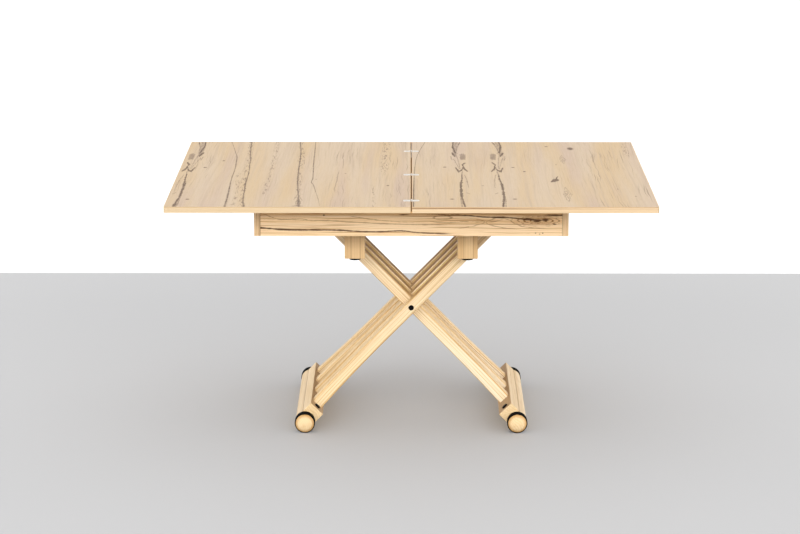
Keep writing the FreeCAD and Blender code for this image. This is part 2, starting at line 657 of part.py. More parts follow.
for side, frame, layers in (("right", "a", A_LAYERS), ("left", "b", B_LAYERS)):
    s, _ = FRAME[frame]
    x = "%d*%s" % (s, axle_x)
    node(side + "_top_axle", cyl(side + "_top_axle", "axle_rad", "2*axle_half", x, "-axle_half", axle_z, "y"))
    tubes = []
    spans = [("%d*half_pitch + bar_thk/2" % a, "%d*half_pitch - bar_thk/2" % b) for a, b in zip(layers, layers[1:])]
    spans.insert(0, ("-(shoe_y0 - 0.6)", "%d*half_pitch - bar_thk/2" % layers[0]))
    spans.append(("%d*half_pitch + bar_thk/2" % layers[-1], "shoe_y0 - 0.6"))
    for i, (y0, y1) in enumerate(spans, start=1):
        t = cyl("%s_sp_%d" % (side, i), "spacer_rad", "(%s) - (%s)" % (y1, y0), x, y0, axle_z, "y")
        h = cyl("%s_sph_%d" % (side, i), "axle_rad", "(%s) - (%s)" % (y1, y0), x, y0, axle_z, "y")
        tubes.append(cut("%s_spc_%d" % (side, i), t, [h]))
    node(side + "_axle_spacers", group(side + "_axle_spacers", tubes))
    shoes = []
    for fb, sy in (("front", -1), ("back", 1)):
        b = box("%s_%s_shoe" % (side, fb), "shoe_len", "shoe_y1 - shoe_y0", "shoe_high",
                "%s - shoe_len/2" % x, "-shoe_y1" if sy < 0 else "shoe_y0", "%s - shoe_high/2" % axle_z)
        b = fillet("%s_%s_shoe_round" % (side, fb), b, 2.0,
                   lambda e: abs(e.tangentAt(e.FirstParameter).y) > 0.9)
        h = cyl("%s_%s_shoe_bore" % (side, fb), "axle_rad + run_clear", "shoe_y1 - shoe_y0 + 2",
                x, "-shoe_y1 - 1" if sy < 0 else "shoe_y0 - 1", axle_z, "y")
        shoes.append(cut("%s_%s_shoe_cut" % (side, fb), b, [h]))
    node(side + "_slider_shoes", group(side + "_slider_shoes", shoes))

# ------------------------------------------------------------------ the feet
# A square cross rail takes the bar ends; it sits on a flat of the round foot,
# which stands on two rubber tread rings.
for side, frame, layers in (("left", "a", A_LAYERS), ("right", "b", B_LAYERS)):
    s, turn = FRAME[frame]
    fx = "%d*%s" % (-s, foot_x)
    # bolts through the rail into the round foot, with caps on the rail
    bolts, fcaps = [], []
    for fb, sy in (("front", -1), ("back", 1)):
        y = "foot_bolt_in" if (side, fb) == ("right", "back") else "%d*foot_bolt_y" % sy
        bolts.append(leg_cyl("%s_%s_bolt" % (side, fb), frame, "foot_bolt_rad", "bar_end + 8", "-8", y))
        c = leg_cyl("%s_%s_fcap" % (side, fb), frame, "foot_cap_rad", "foot_cap_thk", "bar_end", y)
        doc.recompute()
        far = max(c.Shape.Edges, key=lambda e: mid(e).z if is_circle(e) else -1e9)
        fcaps.append(fillet("%s_%s_fcap_dome" % (side, fb), c, 2.0,
                            lambda e, far=far: is_circle(e) and (mid(e) - mid(far)).Length < 0.01))
    dowels = [leg_cyl("%s_dowel_%d" % (side, i), frame, "dowel_rad", "45", "bar_end - 20",
                      "%d*foot_pitch - %d" % (k, k)) for i, k in enumerate(layers, start=1)]
    node(side + "_foot_bolts", group(side + "_foot_bolts", bolts))
    node(side + "_foot_caps", group(side + "_foot_caps", fcaps))
    node(side + "_bar_dowels", group(side + "_bar_dowels", dowels))
    rail = leg_box(side + "_rail_blank", frame, "bar_end - foot_flat", "2*foot_rail_half", "foot_rail_wid",
                   "foot_flat", "-foot_rail_half", "-foot_rail_wid/2")
    rail = fillet(side + "_rail_round", rail, 2.0, lambda e: True)
    node(side + "_foot_rail", cut(side + "_foot_rail", rail, bolts + dowels))

    # round foot: turned profile with ring grooves and domed ends, then a flat
    body = doc.addObject("PartDesign::Body", side + "_foot_body")
    plane = [f for f in body.Origin.OriginFeatures if f.Role == "XY_Plane"][0]
    sk = body.newObject("Sketcher::SketchObject", side + "_foot_profile")
    sk.AttachmentSupport = (plane, [""])
    sk.MapMode = "FlatFace"
    D = DIMS
    dome = D["foot_end"] - D["ring_y1"]
    dr = (D["ring_in"] ** 2 + dome ** 2) / (2 * dome)      # radius of the domed end
    pts = [(0, -D["foot_end"]), (D["ring_in"], -D["ring_y1"]), (D["ring_in"], -D["ring_y0"]),
           (D["foot_rad"], -D["ring_y0"]), (D["foot_rad"], D["ring_y0"]), (D["ring_in"], D["ring_y0"]),
           (D["ring_in"], D["ring_y1"]), (0, D["foot_end"])]
    c0 = -D["foot_end"] + dr
    c1 = D["foot_end"] - dr
    a = math.asin(D["ring_in"] / dr)
    geo = [Part.ArcOfCircle(Part.Circle(V(0, c0, 0), V(0, 0, 1), dr), -math.pi / 2, -math.pi / 2 + a)]
    for p, q in zip(pts[1:-1], pts[2:-1]):
        geo.append(Part.LineSegment(V(p[0], p[1], 0), V(q[0], q[1], 0)))
    geo.append(Part.ArcOfCircle(Part.Circle(V(0, c1, 0), V(0, 0, 1), dr), math.pi / 2 - a, math.pi / 2))
    geo.append(Part.LineSegment(V(0, D["foot_end"], 0), V(0, -D["foot_end"], 0)))
    sk.addGeometry(geo, False)
    import Sketcher
    n = len(geo)
    for i in range(n):
        sk.addConstraint(Sketcher.Constraint("Coincident", i, 2, (i + 1) % n, 1))
    for i in (1, 3, 5):
        sk.addConstraint(Sketcher.Constraint("Vertical", i))
    for i in (2, 4):
        sk.addConstraint(Sketcher.Constraint("Horizontal", i))
    for geo_i, pos, m, kind, f in (
            (1, 1, D["ring_in"], "DistanceX", "ring_in"), (3, 1, D["foot_rad"], "DistanceX", "foot_rad"),
            (5, 1, D["ring_in"], "DistanceX", "ring_in"), (5, 1, D["ring_y0"], "DistanceY", "ring_y0"),
            (5, 2, D["ring_y1"], "DistanceY", "ring_y1"), (n - 1, 1, D["foot_end"], "DistanceY", "foot_end")):
        idx = sk.addConstraint(Sketcher.Constraint(kind, -1, 1, geo_i, pos, m))
        sk.setExpression("Constraints[%d]" % idx, ex(f))
    for geo_i, pos, m, f in ((1, 1, D["ring_y1"], "ring_y1"), (1, 2, D["ring_y0"], "ring_y0"),
                             (n - 1, 2, D["foot_end"], "foot_end")):
        idx = sk.addConstraint(Sketcher.Constraint("DistanceY", geo_i, pos, -1, 1, m))
        sk.setExpression("Constraints[%d]" % idx, ex(f))
    for geo_i in (0, n - 2):
        sk.addConstraint(Sketcher.Constraint("PointOnObject", geo_i, 3, -2))
    sk.addConstraint(Sketcher.Constraint("PointOnObject", n - 1, 1, -2))
    sk.addConstraint(Sketcher.Constraint("PointOnObject", n - 1, 2, -2))
    rev = body.newObject("PartDesign::Revolution", side + "_foot_turned")
    rev.Profile = sk
    rev.ReferenceAxis = (sk, ["V_Axis"])
    rev.Angle = 360.0
    body.Tip = rev
    move(body, fx, "0", "ring_rad")
    flat = leg_box(side + "_flat", frame, "40", "2*foot_rail_half", "80", "foot_flat", "-foot_rail_half", "-40")
    node(side + "_round_foot", cut(side + "_round_foot", body, [flat] + bolts))
    for fb, sy in (("front", -1), ("back", 1)):
        y = "-ring_y1" if sy < 0 else "ring_y0"
        r = cyl("%s_%s_ring_blank" % (side, fb), "ring_rad", "ring_y1 - ring_y0", fx, y, "ring_rad", "y")
        r = fillet("%s_%s_ring_round" % (side, fb), r, 2.5, is_circle)
        h = cyl("%s_%s_ring_hole" % (side, fb), "ring_in", "ring_y1 - ring_y0 + 2", fx,
                "-ring_y1 - 1" if sy < 0 else "ring_y0 - 1", "ring_rad", "y")
        node("%s_%s_tread_ring" % (side, fb), cut("%s_%s_tread_ring" % (side, fb), r, [h]))

# ------------------------------------------------------------------- output
doc.recompute()
bad = [o.Name for o in doc.Objects if "Invalid" in o.State or "Error" in o.State]
if bad:
    raise SystemExit("failed objects: %s" % ", ".join(bad))
for name, obj in nodes.items():
    if obj.Shape.isNull() or not obj.Shape.isValid() or not obj.Shape.Solids:
        raise SystemExit("bad shape: " + name)
os.makedirs("parts", exist_ok=True)
for name, obj in nodes.items():
    obj.Shape.exportStep("parts/%s.step" % name)
    b = obj.Shape.BoundBox
    print("%-28s solids %2d vol %11.1f  x %.1f..%.1f y %.1f..%.1f z %.1f..%.1f" % (
        name, len(obj.Shape.Solids), obj.Shape.Volume, b.XMin, b.XMax, b.YMin, b.YMax, b.ZMin, b.ZMax))
print(len(nodes), "nodes")
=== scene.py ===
import math

import bpy
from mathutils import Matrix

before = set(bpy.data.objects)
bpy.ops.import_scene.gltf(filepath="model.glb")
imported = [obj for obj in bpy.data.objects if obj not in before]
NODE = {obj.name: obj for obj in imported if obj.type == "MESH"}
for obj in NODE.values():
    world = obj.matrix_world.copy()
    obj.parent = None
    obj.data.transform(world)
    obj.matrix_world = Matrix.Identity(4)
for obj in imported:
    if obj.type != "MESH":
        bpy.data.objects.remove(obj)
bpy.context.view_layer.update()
scene = bpy.context.scene


# --------------------------------------------------------------- node helpers
class Net:
    """A material's node tree, built from short calls that hand sockets on."""

    def __init__(self, name):
        self.mat = bpy.data.materials.new(name)
        self.mat.use_nodes = True
        self.tree = self.mat.node_tree
        self.tree.nodes.clear()
        out = self.new("ShaderNodeOutputMaterial")
        self.bsdf = self.new("ShaderNodeBsdfPrincipled")
        self.tree.links.new(self.bsdf.outputs[0], out.inputs["Surface"])
        co = self.new("ShaderNodeTexCoord")
        self.p = co.outputs["Object"]
        sep = self.new("ShaderNodeSeparateXYZ")
        self.tree.links.new(self.p, sep.inputs[0])
        self.x, self.y, self.z = sep.outputs
        sn = self.new("ShaderNodeSeparateXYZ")
        self.tree.links.new(co.outputs["Normal"], sn.inputs[0])
        self.nx, self.ny, self.nz = sn.outputs

    def new(self, kind):
        return self.tree.nodes.new(kind)

    def put(self, sock, value):
        if hasattr(value, "is_output"):
            self.tree.links.new(value, sock)
        else:
            sock.default_value = value

    def m(self, op, a, b=None, c=None):
        n = self.new("ShaderNodeMath")
        n.operation = op
        self.put(n.inputs[0], a)
        if b is not None:
            self.put(n.inputs[1], b)
        if c is not None:
            self.put(n.inputs[2], c)
        return n.outputs[0]

    def add(self, a, b):
        return self.m("ADD", a, b)

    def sub(self, a, b):
        return self.m("SUBTRACT", a, b)

    def mul(self, a, b):
        return self.m("MULTIPLY", a, b)

    def vec(self, x, y, z=0.0):
        n = self.new("ShaderNodeCombineXYZ")
        for s, v in zip(n.inputs, (x, y, z)):
            self.put(s, v)
        return n.outputs[0]

    def noise(self, vec, scale=1.0, detail=3.0, rough=0.5, dist=0.0):
        n = self.new("ShaderNodeTexNoise")
        self.put(n.inputs["Vector"], vec)
        n.inputs["Scale"].default_value = scale
        n.inputs["Detail"].default_value = detail
        n.inputs["Roughness"].default_value = rough
        n.inputs["Distortion"].default_value = dist
        return n.outputs["Fac"]

    def grain(self, u, v, su, sv, w=0.0, detail=3.0, rough=0.5, dist=0.0):
        """Noise stretched along v: su and sv are features per metre."""
        return self.noise(self.vec(self.mul(u, su), self.mul(v, sv), w), 1.0, detail, rough, dist)

    def step(self, value, lo, hi, to_lo=0.0, to_hi=1.0, smooth=True):
        n = self.new("ShaderNodeMapRange")
        n.interpolation_type = "SMOOTHSTEP" if smooth else "LINEAR"
        n.clamp = False
        for s, v in zip(n.inputs, (value, lo, hi, to_lo, to_hi)):
            self.put(s, v)
        return n.outputs[0]

    def mix(self, fac, a, b, blend="MIX"):
        n = self.new("ShaderNodeMix")
        n.data_type = "RGBA"
        n.blend_type = blend
        n.clamp_factor = True
        self.put(n.inputs[0], fac)
        self.put(n.inputs[6], a if hasattr(a, "is_output") else (*a, 1.0))
        self.put(n.inputs[7], b if hasattr(b, "is_output") else (*b, 1.0))
        return n.outputs[2]

    def ramp(self, fac, stops):
        n = self.new("ShaderNodeValToRGB")
        e = n.color_ramp.elements
        while len(e) < len(stops):
            e.new(0.5)
        for el, (pos, col) in zip(e, stops):
            el.position = pos
            el.color = (*col, 1.0)
        self.put(n.inputs[0], fac)
        return n.outputs[0]

    def curve(self, value, points, lo, hi, vlo, vhi):
        """A plotted function: points are (in, out) in real units between the
        given limits."""
        share = self.step(value, lo, hi, smooth=False)
        n = self.new("ShaderNodeFloatCurve")
        c = n.mapping.curves[0]
        pts = [((a - lo) / (hi - lo), (b - vlo) / (vhi - vlo)) for a, b in points]
        while len(c.points) < len(pts):
            c.points.new(0.5, 0.5)
        for q, (a, b) in zip(c.points, pts):
            q.location = (a, b)
            q.handle_type = "AUTO_CLAMPED"
        n.mapping.use_clip = False
        n.mapping.update()
        self.put(n.inputs["Value"], share)
        n.inputs["Factor"].default_value = 1.0
        return self.add(self.mul(n.outputs[0], vhi - vlo), vlo)

    def bump(self, height, strength, dist):
        n = self.new("ShaderNodeBump")
        n.inputs["Strength"].default_value = strength
        n.inputs["Distance"].default_value = dist
        self.put(n.inputs["Height"], height)
        self.put(self.bsdf.inputs["Normal"], n.outputs[0])

    def finish(self, colour, rough, spec=0.35):
        self.put(self.bsdf.inputs["Base Color"], colour)
        self.put(self.bsdf.inputs["Roughness"], rough)
        self.bsdf.inputs["Specular IOR Level"].default_value = spec
        return self.mat


def lin(r, g, b):
    """Display colour (0-255) to linear."""
    f = lambda c: c / 12.92 if c <= 0.04045 else ((c + 0.055) / 1.055) ** 2.4
    return tuple(f(v / 255.0) for v in (r, g, b))


def paint(mat, *names):
    for n in names:
        o = NODE[n]
        o.data.materials.clear()
        o.data.materials.append(mat)


# ---------------------------------------------------------------- cracked oak
def albedo(gain, *rgb):
    """Surface colour that shows as rgb where the light has this strength."""
    return tuple(v / gain for v in lin(*rgb))


def crack(net, u, v, path, width, edge, lo, hi, jag=0.0, thin=None):
    """One crack that follows the grain: path gives (v, u), width gives (v, half
    width). edge is a noise about 0, jag how far it pushes the crack aside, thin
    a factor for the width. Returns distance over half width."""
    us = [b for _, b in path]
    vlo, vhi = min(us) - 0.004, max(us) + 0.004
    line = net.curve(v, path, lo, hi, vlo, vhi)
    d = net.m("ABSOLUTE", net.sub(net.add(u, net.mul(edge, jag)), line))
    if isinstance(width, (int, float)):
        half = width
    else:
        ws = [b for _, b in width]
        half = net.curve(v, width, lo, hi, 0.0, max(ws))
    if thin is not None:
        half = net.mul(half, thin)
    return net.m("DIVIDE", d, net.m("MAXIMUM", half, 1e-5))


SQUEEZE = 0.25      # strokes are measured with the grain direction shortened


def stroke(net, q, a, b, ra, rb):
    """Tapered short stroke from a to b in millimetres. q holds the shortened
    coordinates. Returns distance over half width."""
    ax, ay, bx, by = a[0] / 1000, a[1] / 1000 * SQUEEZE, b[0] / 1000, b[1] / 1000 * SQUEEZE
    dx, dy = bx - ax, by - ay
    n2 = dx * dx + dy * dy
    rel = net.new("ShaderNodeVectorMath")
    rel.operation = "SUBTRACT"
    net.put(rel.inputs[0], q)
    rel.inputs[1].default_value = (ax, ay, 0.0)
    dot = net.new("ShaderNodeVectorMath")
    dot.operation = "DOT_PRODUCT"
    net.put(dot.inputs[0], rel.outputs[0])
    dot.inputs[1].default_value = (dx / n2, dy / n2, 0.0)
    t = net.m("MINIMUM", net.m("MAXIMUM", dot.outputs["Value"], 0.0), 1.0)
    foot = net.new("ShaderNodeVectorMath")
    foot.operation = "SCALE"
    foot.inputs[0].default_value = (dx, dy, 0.0)
    net.put(foot.inputs["Scale"], t)
    far = net.new("ShaderNodeVectorMath")
    far.operation = "DISTANCE"
    net.put(far.inputs[0], rel.outputs[0])
    net.put(far.inputs[1], foot.outputs[0])
    r = net.m("MULTIPLY_ADD", t, (rb - ra) / 1000, ra / 1000)
    return net.m("DIVIDE", far.outputs["Value"], r)


class Gather:
    """Running least or greatest of the values handed to it, joined one by one
    so that few values wait at a time."""

    def __init__(self, net, op):
        self.net, self.op, self.total = net, op, None

    def append(self, value):
        self.total = value if self.total is None else self.net.m(self.op, self.total, value)


def chain(net, q, points, into):
    """Strokes through (u, v, half width) points."""
    for a, b in zip(points, points[1:]):
        into.append(stroke(net, q, a, b, a[2], b[2]))


def blob(net, u, v, cu, cv, ru, rv, edge, jag):
    """A spot; returns distance over radius."""
    du = net.m("DIVIDE", net.sub(net.add(u, net.mul(edge, jag)), cu), ru)
    dv = net.m("DIVIDE", net.sub(v, cv), rv)
    return net.m("SQRT", net.add(net.mul(du, du), net.mul(dv, dv)))


def oak(net, u, v, seed, light, warm, pink, dark, ring, line_amt=0.34, band_amt=1.0):
    """Plain part of the decor: pale oak with soft bands, thin growth lines and
    fine fibres. Returns colour and a height for the bump."""
    warp = net.grain(u, v, 7.0, 0.9, seed, 2.0)
    uw = net.add(u, net.mul(net.sub(warp, 0.5), 0.055))
    band = net.grain(uw, v, 9.0, 0.6, seed + 3.0, 3.0, 0.55)
    col = net.mix(net.mul(net.step(band, 0.36, 0.66), band_amt), light, warm)
    blush = net.grain(uw, v, 13.0, 0.8, seed + 43.0, 2.0)
    col = net.mix(net.mul(net.step(blush, 0.48, 0.72), 0.8 * band_amt), col, pink)
    streak = net.grain(uw, v, 95.0, 1.5, seed + 7.0, 4.0, 0.62)
    col = net.mix(net.mul(net.step(streak, 0.46, 0.72), 0.62), col, dark)
    # thin growth lines, in families that come and go
    fine_warp = net.mul(net.sub(net.grain(u, v, 24.0, 4.5, seed + 11.0, 3.0), 0.5), 0.022)
    lines = net.grain(net.add(uw, fine_warp), v, 330.0, 2.2, seed + 13.0, 2.0, 0.5)
    show = net.step(net.grain(u, v, 14.0, 1.4, seed + 17.0, 2.0), 0.40, 0.66, 0.25, 1.0)
    col = net.mix(net.mul(net.mul(net.step(lines, 0.54, 0.70), show), line_amt), col, ring)
    # fibres and pores
    fibre = net.grain(u, v, 900.0, 9.0, seed + 23.0, 3.0, 0.6)
    col = net.mix(net.mul(net.step(fibre, 0.54, 0.74), 0.20), col, ring)
    pore = net.grain(u, v, 460.0, 22.0, seed + 31.0, 2.0)
    pores = net.step(pore, 0.64, 0.74)
    col = net.mix(net.mul(pores, 0.30), col, ring)
    height = net.sub(net.mul(fibre, 0.35), net.mul(pores, 0.5))
    return col, height


G_TOP = 1.50
TOP_LIGHT = albedo(G_TOP, 229, 206, 178)
TOP_WARM = albedo(G_TOP, 229, 200, 160)
TOP_PINK = albedo(G_TOP, 220, 195, 174)
TOP_DARK = albedo(G_TOP, 211, 187, 162)
TOP_RING = albedo(G_TOP, 182, 154, 126)
CRACK = albedo(G_TOP, 124, 103, 88)
CRACK_DEEP = albedo(G_TOP, 94, 75, 63)
CRACK_MID = albedo(G_TOP, 116, 96, 81)
CRACK_SOFT = albedo(G_TOP, 148, 126, 108)


def top_material(name, side):
    net = Net(name)
    x, y = net.x, net.y
    col, height = oak(net, x, y, 2.0 if side == "left" else 41.0, TOP_LIGHT, TOP_WARM, TOP_PINK, TOP_DARK, TOP_RING)
    wob = net.sub(net.grain(x, y, 60.0, 16.0, 5.0, 4.0, 0.7), 0.5)
    fine = net.sub(net.grain(x, y, 300.0, 60.0, 9.0, 3.0, 0.65), 0.5)
    edge = net.add(net.mul(wob, 0.6), fine)
    thin = net.step(net.grain(x, y, 30.0, 42.0, 19.0, 3.0, 0.6), 0.30, 0.68, 0.45, 1.45)
    lo, hi = -0.5, 0.5
    strong, soft, faint = Gather(net, "MINIMUM"), Gather(net, "MINIMUM"), Gather(net, "MAXIMUM")
    lengthy = Gather(net, "MINIMUM")
    wide = net.add(net.mul(thin, 0.65), 0.65)
    # coordinates of the drawn figures, worked out after the noise
    late = net.mul(edge, 1e-6)
    gx, gy = x, y
    x, y = net.add(x, late), net.add(y, late)

    # ---- knotty crack: split strokes at the back, a forked knot in the middle,
    # one wide crack towards the front
    if side == "left":
        u = net.sub(-0.682, x)
    else:
        u = net.sub(0.06575, net.m("ABSOLUTE", net.sub(x, 0.21175)))
    q = net.vec(net.add(u, net.mul(edge, 0.0085)), net.mul(net.add(y, net.mul(net.sub(net.grain(gx, gy, 160.0, 30.0, 29.0, 3.0), 0.5), 0.034)), SQUEEZE))
    for pts in ([(-9, 494, 1.8), (-11, 450, 2.2), (-12, 417, 2.8), (-9, 370, 2.8), (-4.5, 312, 2.0)],
                [(13, 488, 1.2), (7, 458, 1.7)], [(-14.5, 306, 3.0), (-10, 280, 2.8), (-6.5, 254, 1.8)],
                [(22, 148, 2.2), (14, 120, 2.0), (18, 78, 2.0)],
                [(28, 20, 1.8), (21, 46, 2.8), (15, 80, 2.0)],
                [(14, 60, 1.4), (9, 30, 2.4), (1, 16, 3.0), (-3, 40, 2.4), (-8, 74, 1.4)]):
        chain(net, q, [(a, b, 1.36 * c) for a, b, c in pts], strong)
    for a, b in ((10.0, 286), (15.0, 298), (20.0, 296), (25.0, 284)):
        soft.append(stroke(net, q, (a, b), (0.85 * a + 2.6, 208), 1.8, 2.5))
    faint.append(net.mul(net.step(stroke(net, q, (17.5, 272), (17.5, 232), 8.0, 8.5), 1.15, 0.5), 0.52))
    faint.append(net.mul(net.step(stroke(net, q, (-3, 480), (-8, 280), 9.0, 7.0), 1.2, 0.5), 0.44))
    for v in (452, 396, 340):
        soft.append(stroke(net, q, (-13, v + 16), (1, v - 34), 0.8, 1.7))
    for pts in ([(13, 486, 1.6), (6, 436, 2.4), (2.5, 402, 2.4), (-1.3, 339, 1.6)], [(4, 490, 1.8), (-3, 456, 1.6)],
                [(-6, 306, 2.4), (-2, 258, 2.0), (2, 206, 1.4)], [(-12.6, 220, 1.8), (-3.5, 136, 1.2), (3.5, 57, 1.3)],
                [(1.8, 206, 1.4), (3.3, 149, 1.1), (5.7, 62, 1.2)], [(-20.7, 246, 2.2), (-16.8, 198, 2.2)],
                [(12, 10, 2.2), (9, -58, 2.2)], [(18, -38, 1.4), (24, -128, 1.5), (26, -226, 1.2)], [(20, -302, 1.4), (28, -320, 1.2)]):
        chain(net, q, pts, soft)
    strong.append(crack(net, u, y, [(-0.5, 0.0105), (-0.42, 0.0065), (-0.327, 0.0032), (-0.21, 0.0034), (-0.14, 0.0062), (-0.058, 0.0090), (0.5, 0.009)],
                        [(-0.5, 0.0046), (-0.40, 0.0038), (-0.30, 0.0044), (-0.20, 0.0046), (-0.12, 0.0032), (-0.04, 0.0020), (0.0, 0.0), (0.5, 0.0)],
                        edge, lo, hi, 0.0030, thin))
    soft.append(crack(net, u, y, [(-0.5, 0.0030), (-0.42, 0.0005), (-0.30, 0.0), (0.5, 0.0)],
                      [(-0.5, 0.0030), (-0.38, 0.0024), (-0.28, 0.0), (0.5, 0.0)], edge, lo, hi, 0.005, thin))

    if side == "left":
        lengthy.append(crack(net, x, y, [(-0.5, -0.5425), (-0.33, -0.544), (-0.20, -0.547), (-0.07, -0.549), (0.033, -0.548), (0.182, -0.552), (0.218, -0.553),
                                        (0.318, -0.564), (0.411, -0.576), (0.5, -0.588)],
                            [(-0.5, 0.0026), (-0.3, 0.0021), (-0.1, 0.0016), (0.1, 0.0012), (0.2, 0.0016), (0.3, 0.0009), (0.5, 0.0008)], edge, lo, hi, 0.0028, wide))
        lengthy.append(crack(net, x, y, [(-0.5, -0.487), (-0.346, -0.497), (-0.25, -0.499), (-0.169, -0.502), (-0.019, -0.502), (0.12, -0.506), (0.191, -0.508),
                                        (0.318, -0.516), (0.421, -0.520), (0.5, -0.523)],
                            [(-0.5, 0.0026), (-0.30, 0.0020), (-0.17, 0.0024), (-0.05, 0.0016), (0.1, 0.0014), (0.3, 0.0020), (0.45, 0.0024), (0.5, 0.0026)],
                            edge, lo, hi, 0.0075, wide))
        lengthy.append(crack(net, x, y, [(-0.5, -0.327), (-0.423, -0.331), (-0.313, -0.336), (-0.185, -0.343), (-0.035, -0.348), (0.138, -0.351), (0.282, -0.353),
                                        (0.5, -0.364)],
                            [(-0.5, 0.0030), (-0.43, 0.0036), (-0.38, 0.0014), (-0.25, 0.0019), (-0.1, 0.0022), (0.1, 0.0018), (0.3, 0.0020), (0.5, 0.0017)],
                            edge, lo, hi, 0.0060, wide))
        lengthy.append(crack(net, x, y, [(-0.5, -0.266), (-0.407, -0.273), (-0.281, -0.286), (-0.185, -0.296), (-0.135, -0.303), (-0.10, -0.301), (0.034, -0.304),
                                        (0.192, -0.308), (0.338, -0.310), (0.5, -0.313)],
                            [(-0.5, 0.0), (-0.42, 0.0005), (-0.28, 0.0008), (-0.13, 0.0014), (0.0, 0.0013), (0.2, 0.0013), (0.5, 0.0012)], edge, lo, hi, 0.0024, wide))
        # arrow-shaped foot of the fourth crack
        q2 = net.vec(net.add(x, net.mul(edge, 0.006)), net.mul(net.add(y, net.mul(wob, 0.02)), SQUEEZE))
        for pts in ([(-337, -330, 0.9), (-346, -395, 1.2)], [(-336, -330, 0.9), (-320, -405, 1.2)], [(-335, -372, 0.9), (-338, -455, 1.5)],
                    [(-334, -372, 0.9), (-323, -455, 1.3)], [(-347, -489, 1.2), (-330, -480, 2.2), (-316, -490, 1.2)],
                    [(-347, 345, 0.9), (-342, 300, 1.3)], [(-346, 270, 1.2), (-340, 225, 0.9)], [(-338, 200, 0.9), (-336, 130, 1.1)],
                    [(-442, -300, 0.9), (-440, -322, 1.3), (-436, -300, 0.9)]):
            chain(net, q2, pts, soft)
        # stippled strands
        strands = [([(-0.5, -0.521), (-0.314, -0.519), (-0.153, -0.526), (-0.036, -0.530), (0.5, -0.53)], 0.011, (-0.5, -0.45, -0.08, 0.04)),
                   ([(-0.5, -0.438), (-0.314, -0.437), (-0.2, -0.436), (-0.035, -0.435), (0.138, -0.433), (0.319, -0.434), (0.5, -0.437)], 0.012, (-0.38, -0.20, 0.5, 0.6)),
                   ([(-0.5, -0.112), (-0.375, -0.110), (-0.281, -0.115), (-0.2, -0.114), (0.5, -0.114)], 0.007, (-0.55, -0.5, -0.26, -0.16)),
                   ([(-0.5, -0.495), (-0.2, -0.507), (0.3, -0.516), (0.5, -0.524)], 0.014, (-0.55, -0.5, 0.5, 0.6)),
                   ([(-0.5, -0.329), (0.0, -0.345), (0.3, -0.350), (0.5, -0.360)], 0.013, (-0.55, -0.45, 0.5, 0.6)),
                   ([(-0.5, -0.100), (0.0, -0.085), (0.5, -0.08)], 0.020, (-0.1, 0.1, 0.45, 0.6))]
        dashes = [(-0.643, 0.075, 0.0070), (-0.659, -0.394, 0.0070), (-0.071, -0.197, 0.0050), (-0.592, 0.182, 0.0050), (-0.203, -0.017, 0.0035), (-0.085, 0.256, 0.0045),
                  (-0.290, -0.105, 0.0025), (-0.438, -0.200, 0.0020)]
    else:
        lengthy.append(crack(net, x, y, [(-0.5, 0.0052), (-0.28, 0.0070), (-0.117, 0.0082), (0.052, 0.0105), (0.211, 0.0155), (0.339, 0.026), (0.461, 0.041), (0.5, 0.046)],
                            [(-0.5, 0.0024), (-0.40, 0.0021), (-0.2, 0.0015), (0.0, 0.0010), (0.25, 0.0008), (0.5, 0.0008)], edge, lo, hi, 0.0016, wide))
        q2 = net.vec(net.add(x, net.mul(edge, 0.007)), net.mul(net.add(y, net.mul(wob, 0.02)), SQUEEZE))
        strong.append(blob(net, x, y, 0.5135, 0.384, 0.0115, 0.026, edge, 0.004))
        for pts in ([(426, -138, 2.6), (436, -118, 7.0), (446, -110, 5.0)], [(441, -104, 3.2), (449, -58, 1.2)]):
            chain(net, q2, pts, strong)
        strands = [([(-0.5, 0.686), (0.0, 0.688), (0.5, 0.690)], 0.014, (0.2, 0.3, 0.45, 0.5))]
        # diamond-shaped knots of fine rings
        for cu, cv, ru, rv in ((0.479, 0.205, 0.011, 0.085), (0.463, -0.322, 0.014, 0.125)):
            du = net.m("DIVIDE", net.m("ABSOLUTE", net.sub(net.add(x, net.mul(edge, 0.015)), cu)), ru)
            dv = net.m("DIVIDE", net.m("ABSOLUTE", net.sub(y, cv)), rv)
            d = net.add(du, dv)
            ringed = net.mul(net.step(net.m("SINE", net.mul(d, 17.0)), 0.0, 0.7), net.step(d, 1.1, 0.8))
            faint.append(net.mul(ringed, 0.72))
        dashes = [(0.104, 0.084, 0.0068), (0.317, 0.079, 0.0064), (0.120, -0.390, 0.0072), (0.305, -0.389, 0.0074), (0.216, -0.198, 0.0040), (0.438, 0.419, 0.0060),
                  (0.619, -0.246, 0.0030), (0.665, -0.349, 0.0034), (0.689, 0.314, 0.0030), (0.454, 0.124, 0.0024), (0.350, 0.014, 0.0060), (0.692, 0.412, 0.0034)]
    for cu, cv, ru in dashes:
        (strong if ru > 0.0045 else soft).append(blob(net, x, y, cu, cv, ru, 0.0075, edge, 0.003))
    # stippled strands: short pecks along a line
    peck = net.mul(net.step(net.grain(net.add(gx, net.mul(wob, 0.012)), gy, 275.0, 25.0, 47.0, 3.0, 0.6), 0.515, 0.61), 0.95)
    for path, reach, (a0, a1, b0, b1) in strands:
        line = net.curve(y, path, lo, hi, min(b for _, b in path) - 0.004, max(b for _, b in path) + 0.004)
        d = net.m("ABSOLUTE", net.sub(net.add(x, net.mul(wob, 0.02)), line))
        keep = net.mul(net.step(d, reach, 0.0), net.mul(net.step(y, a0, a1), net.step(y, b1, b0)))
        faint.append(net.mul(keep, peck))
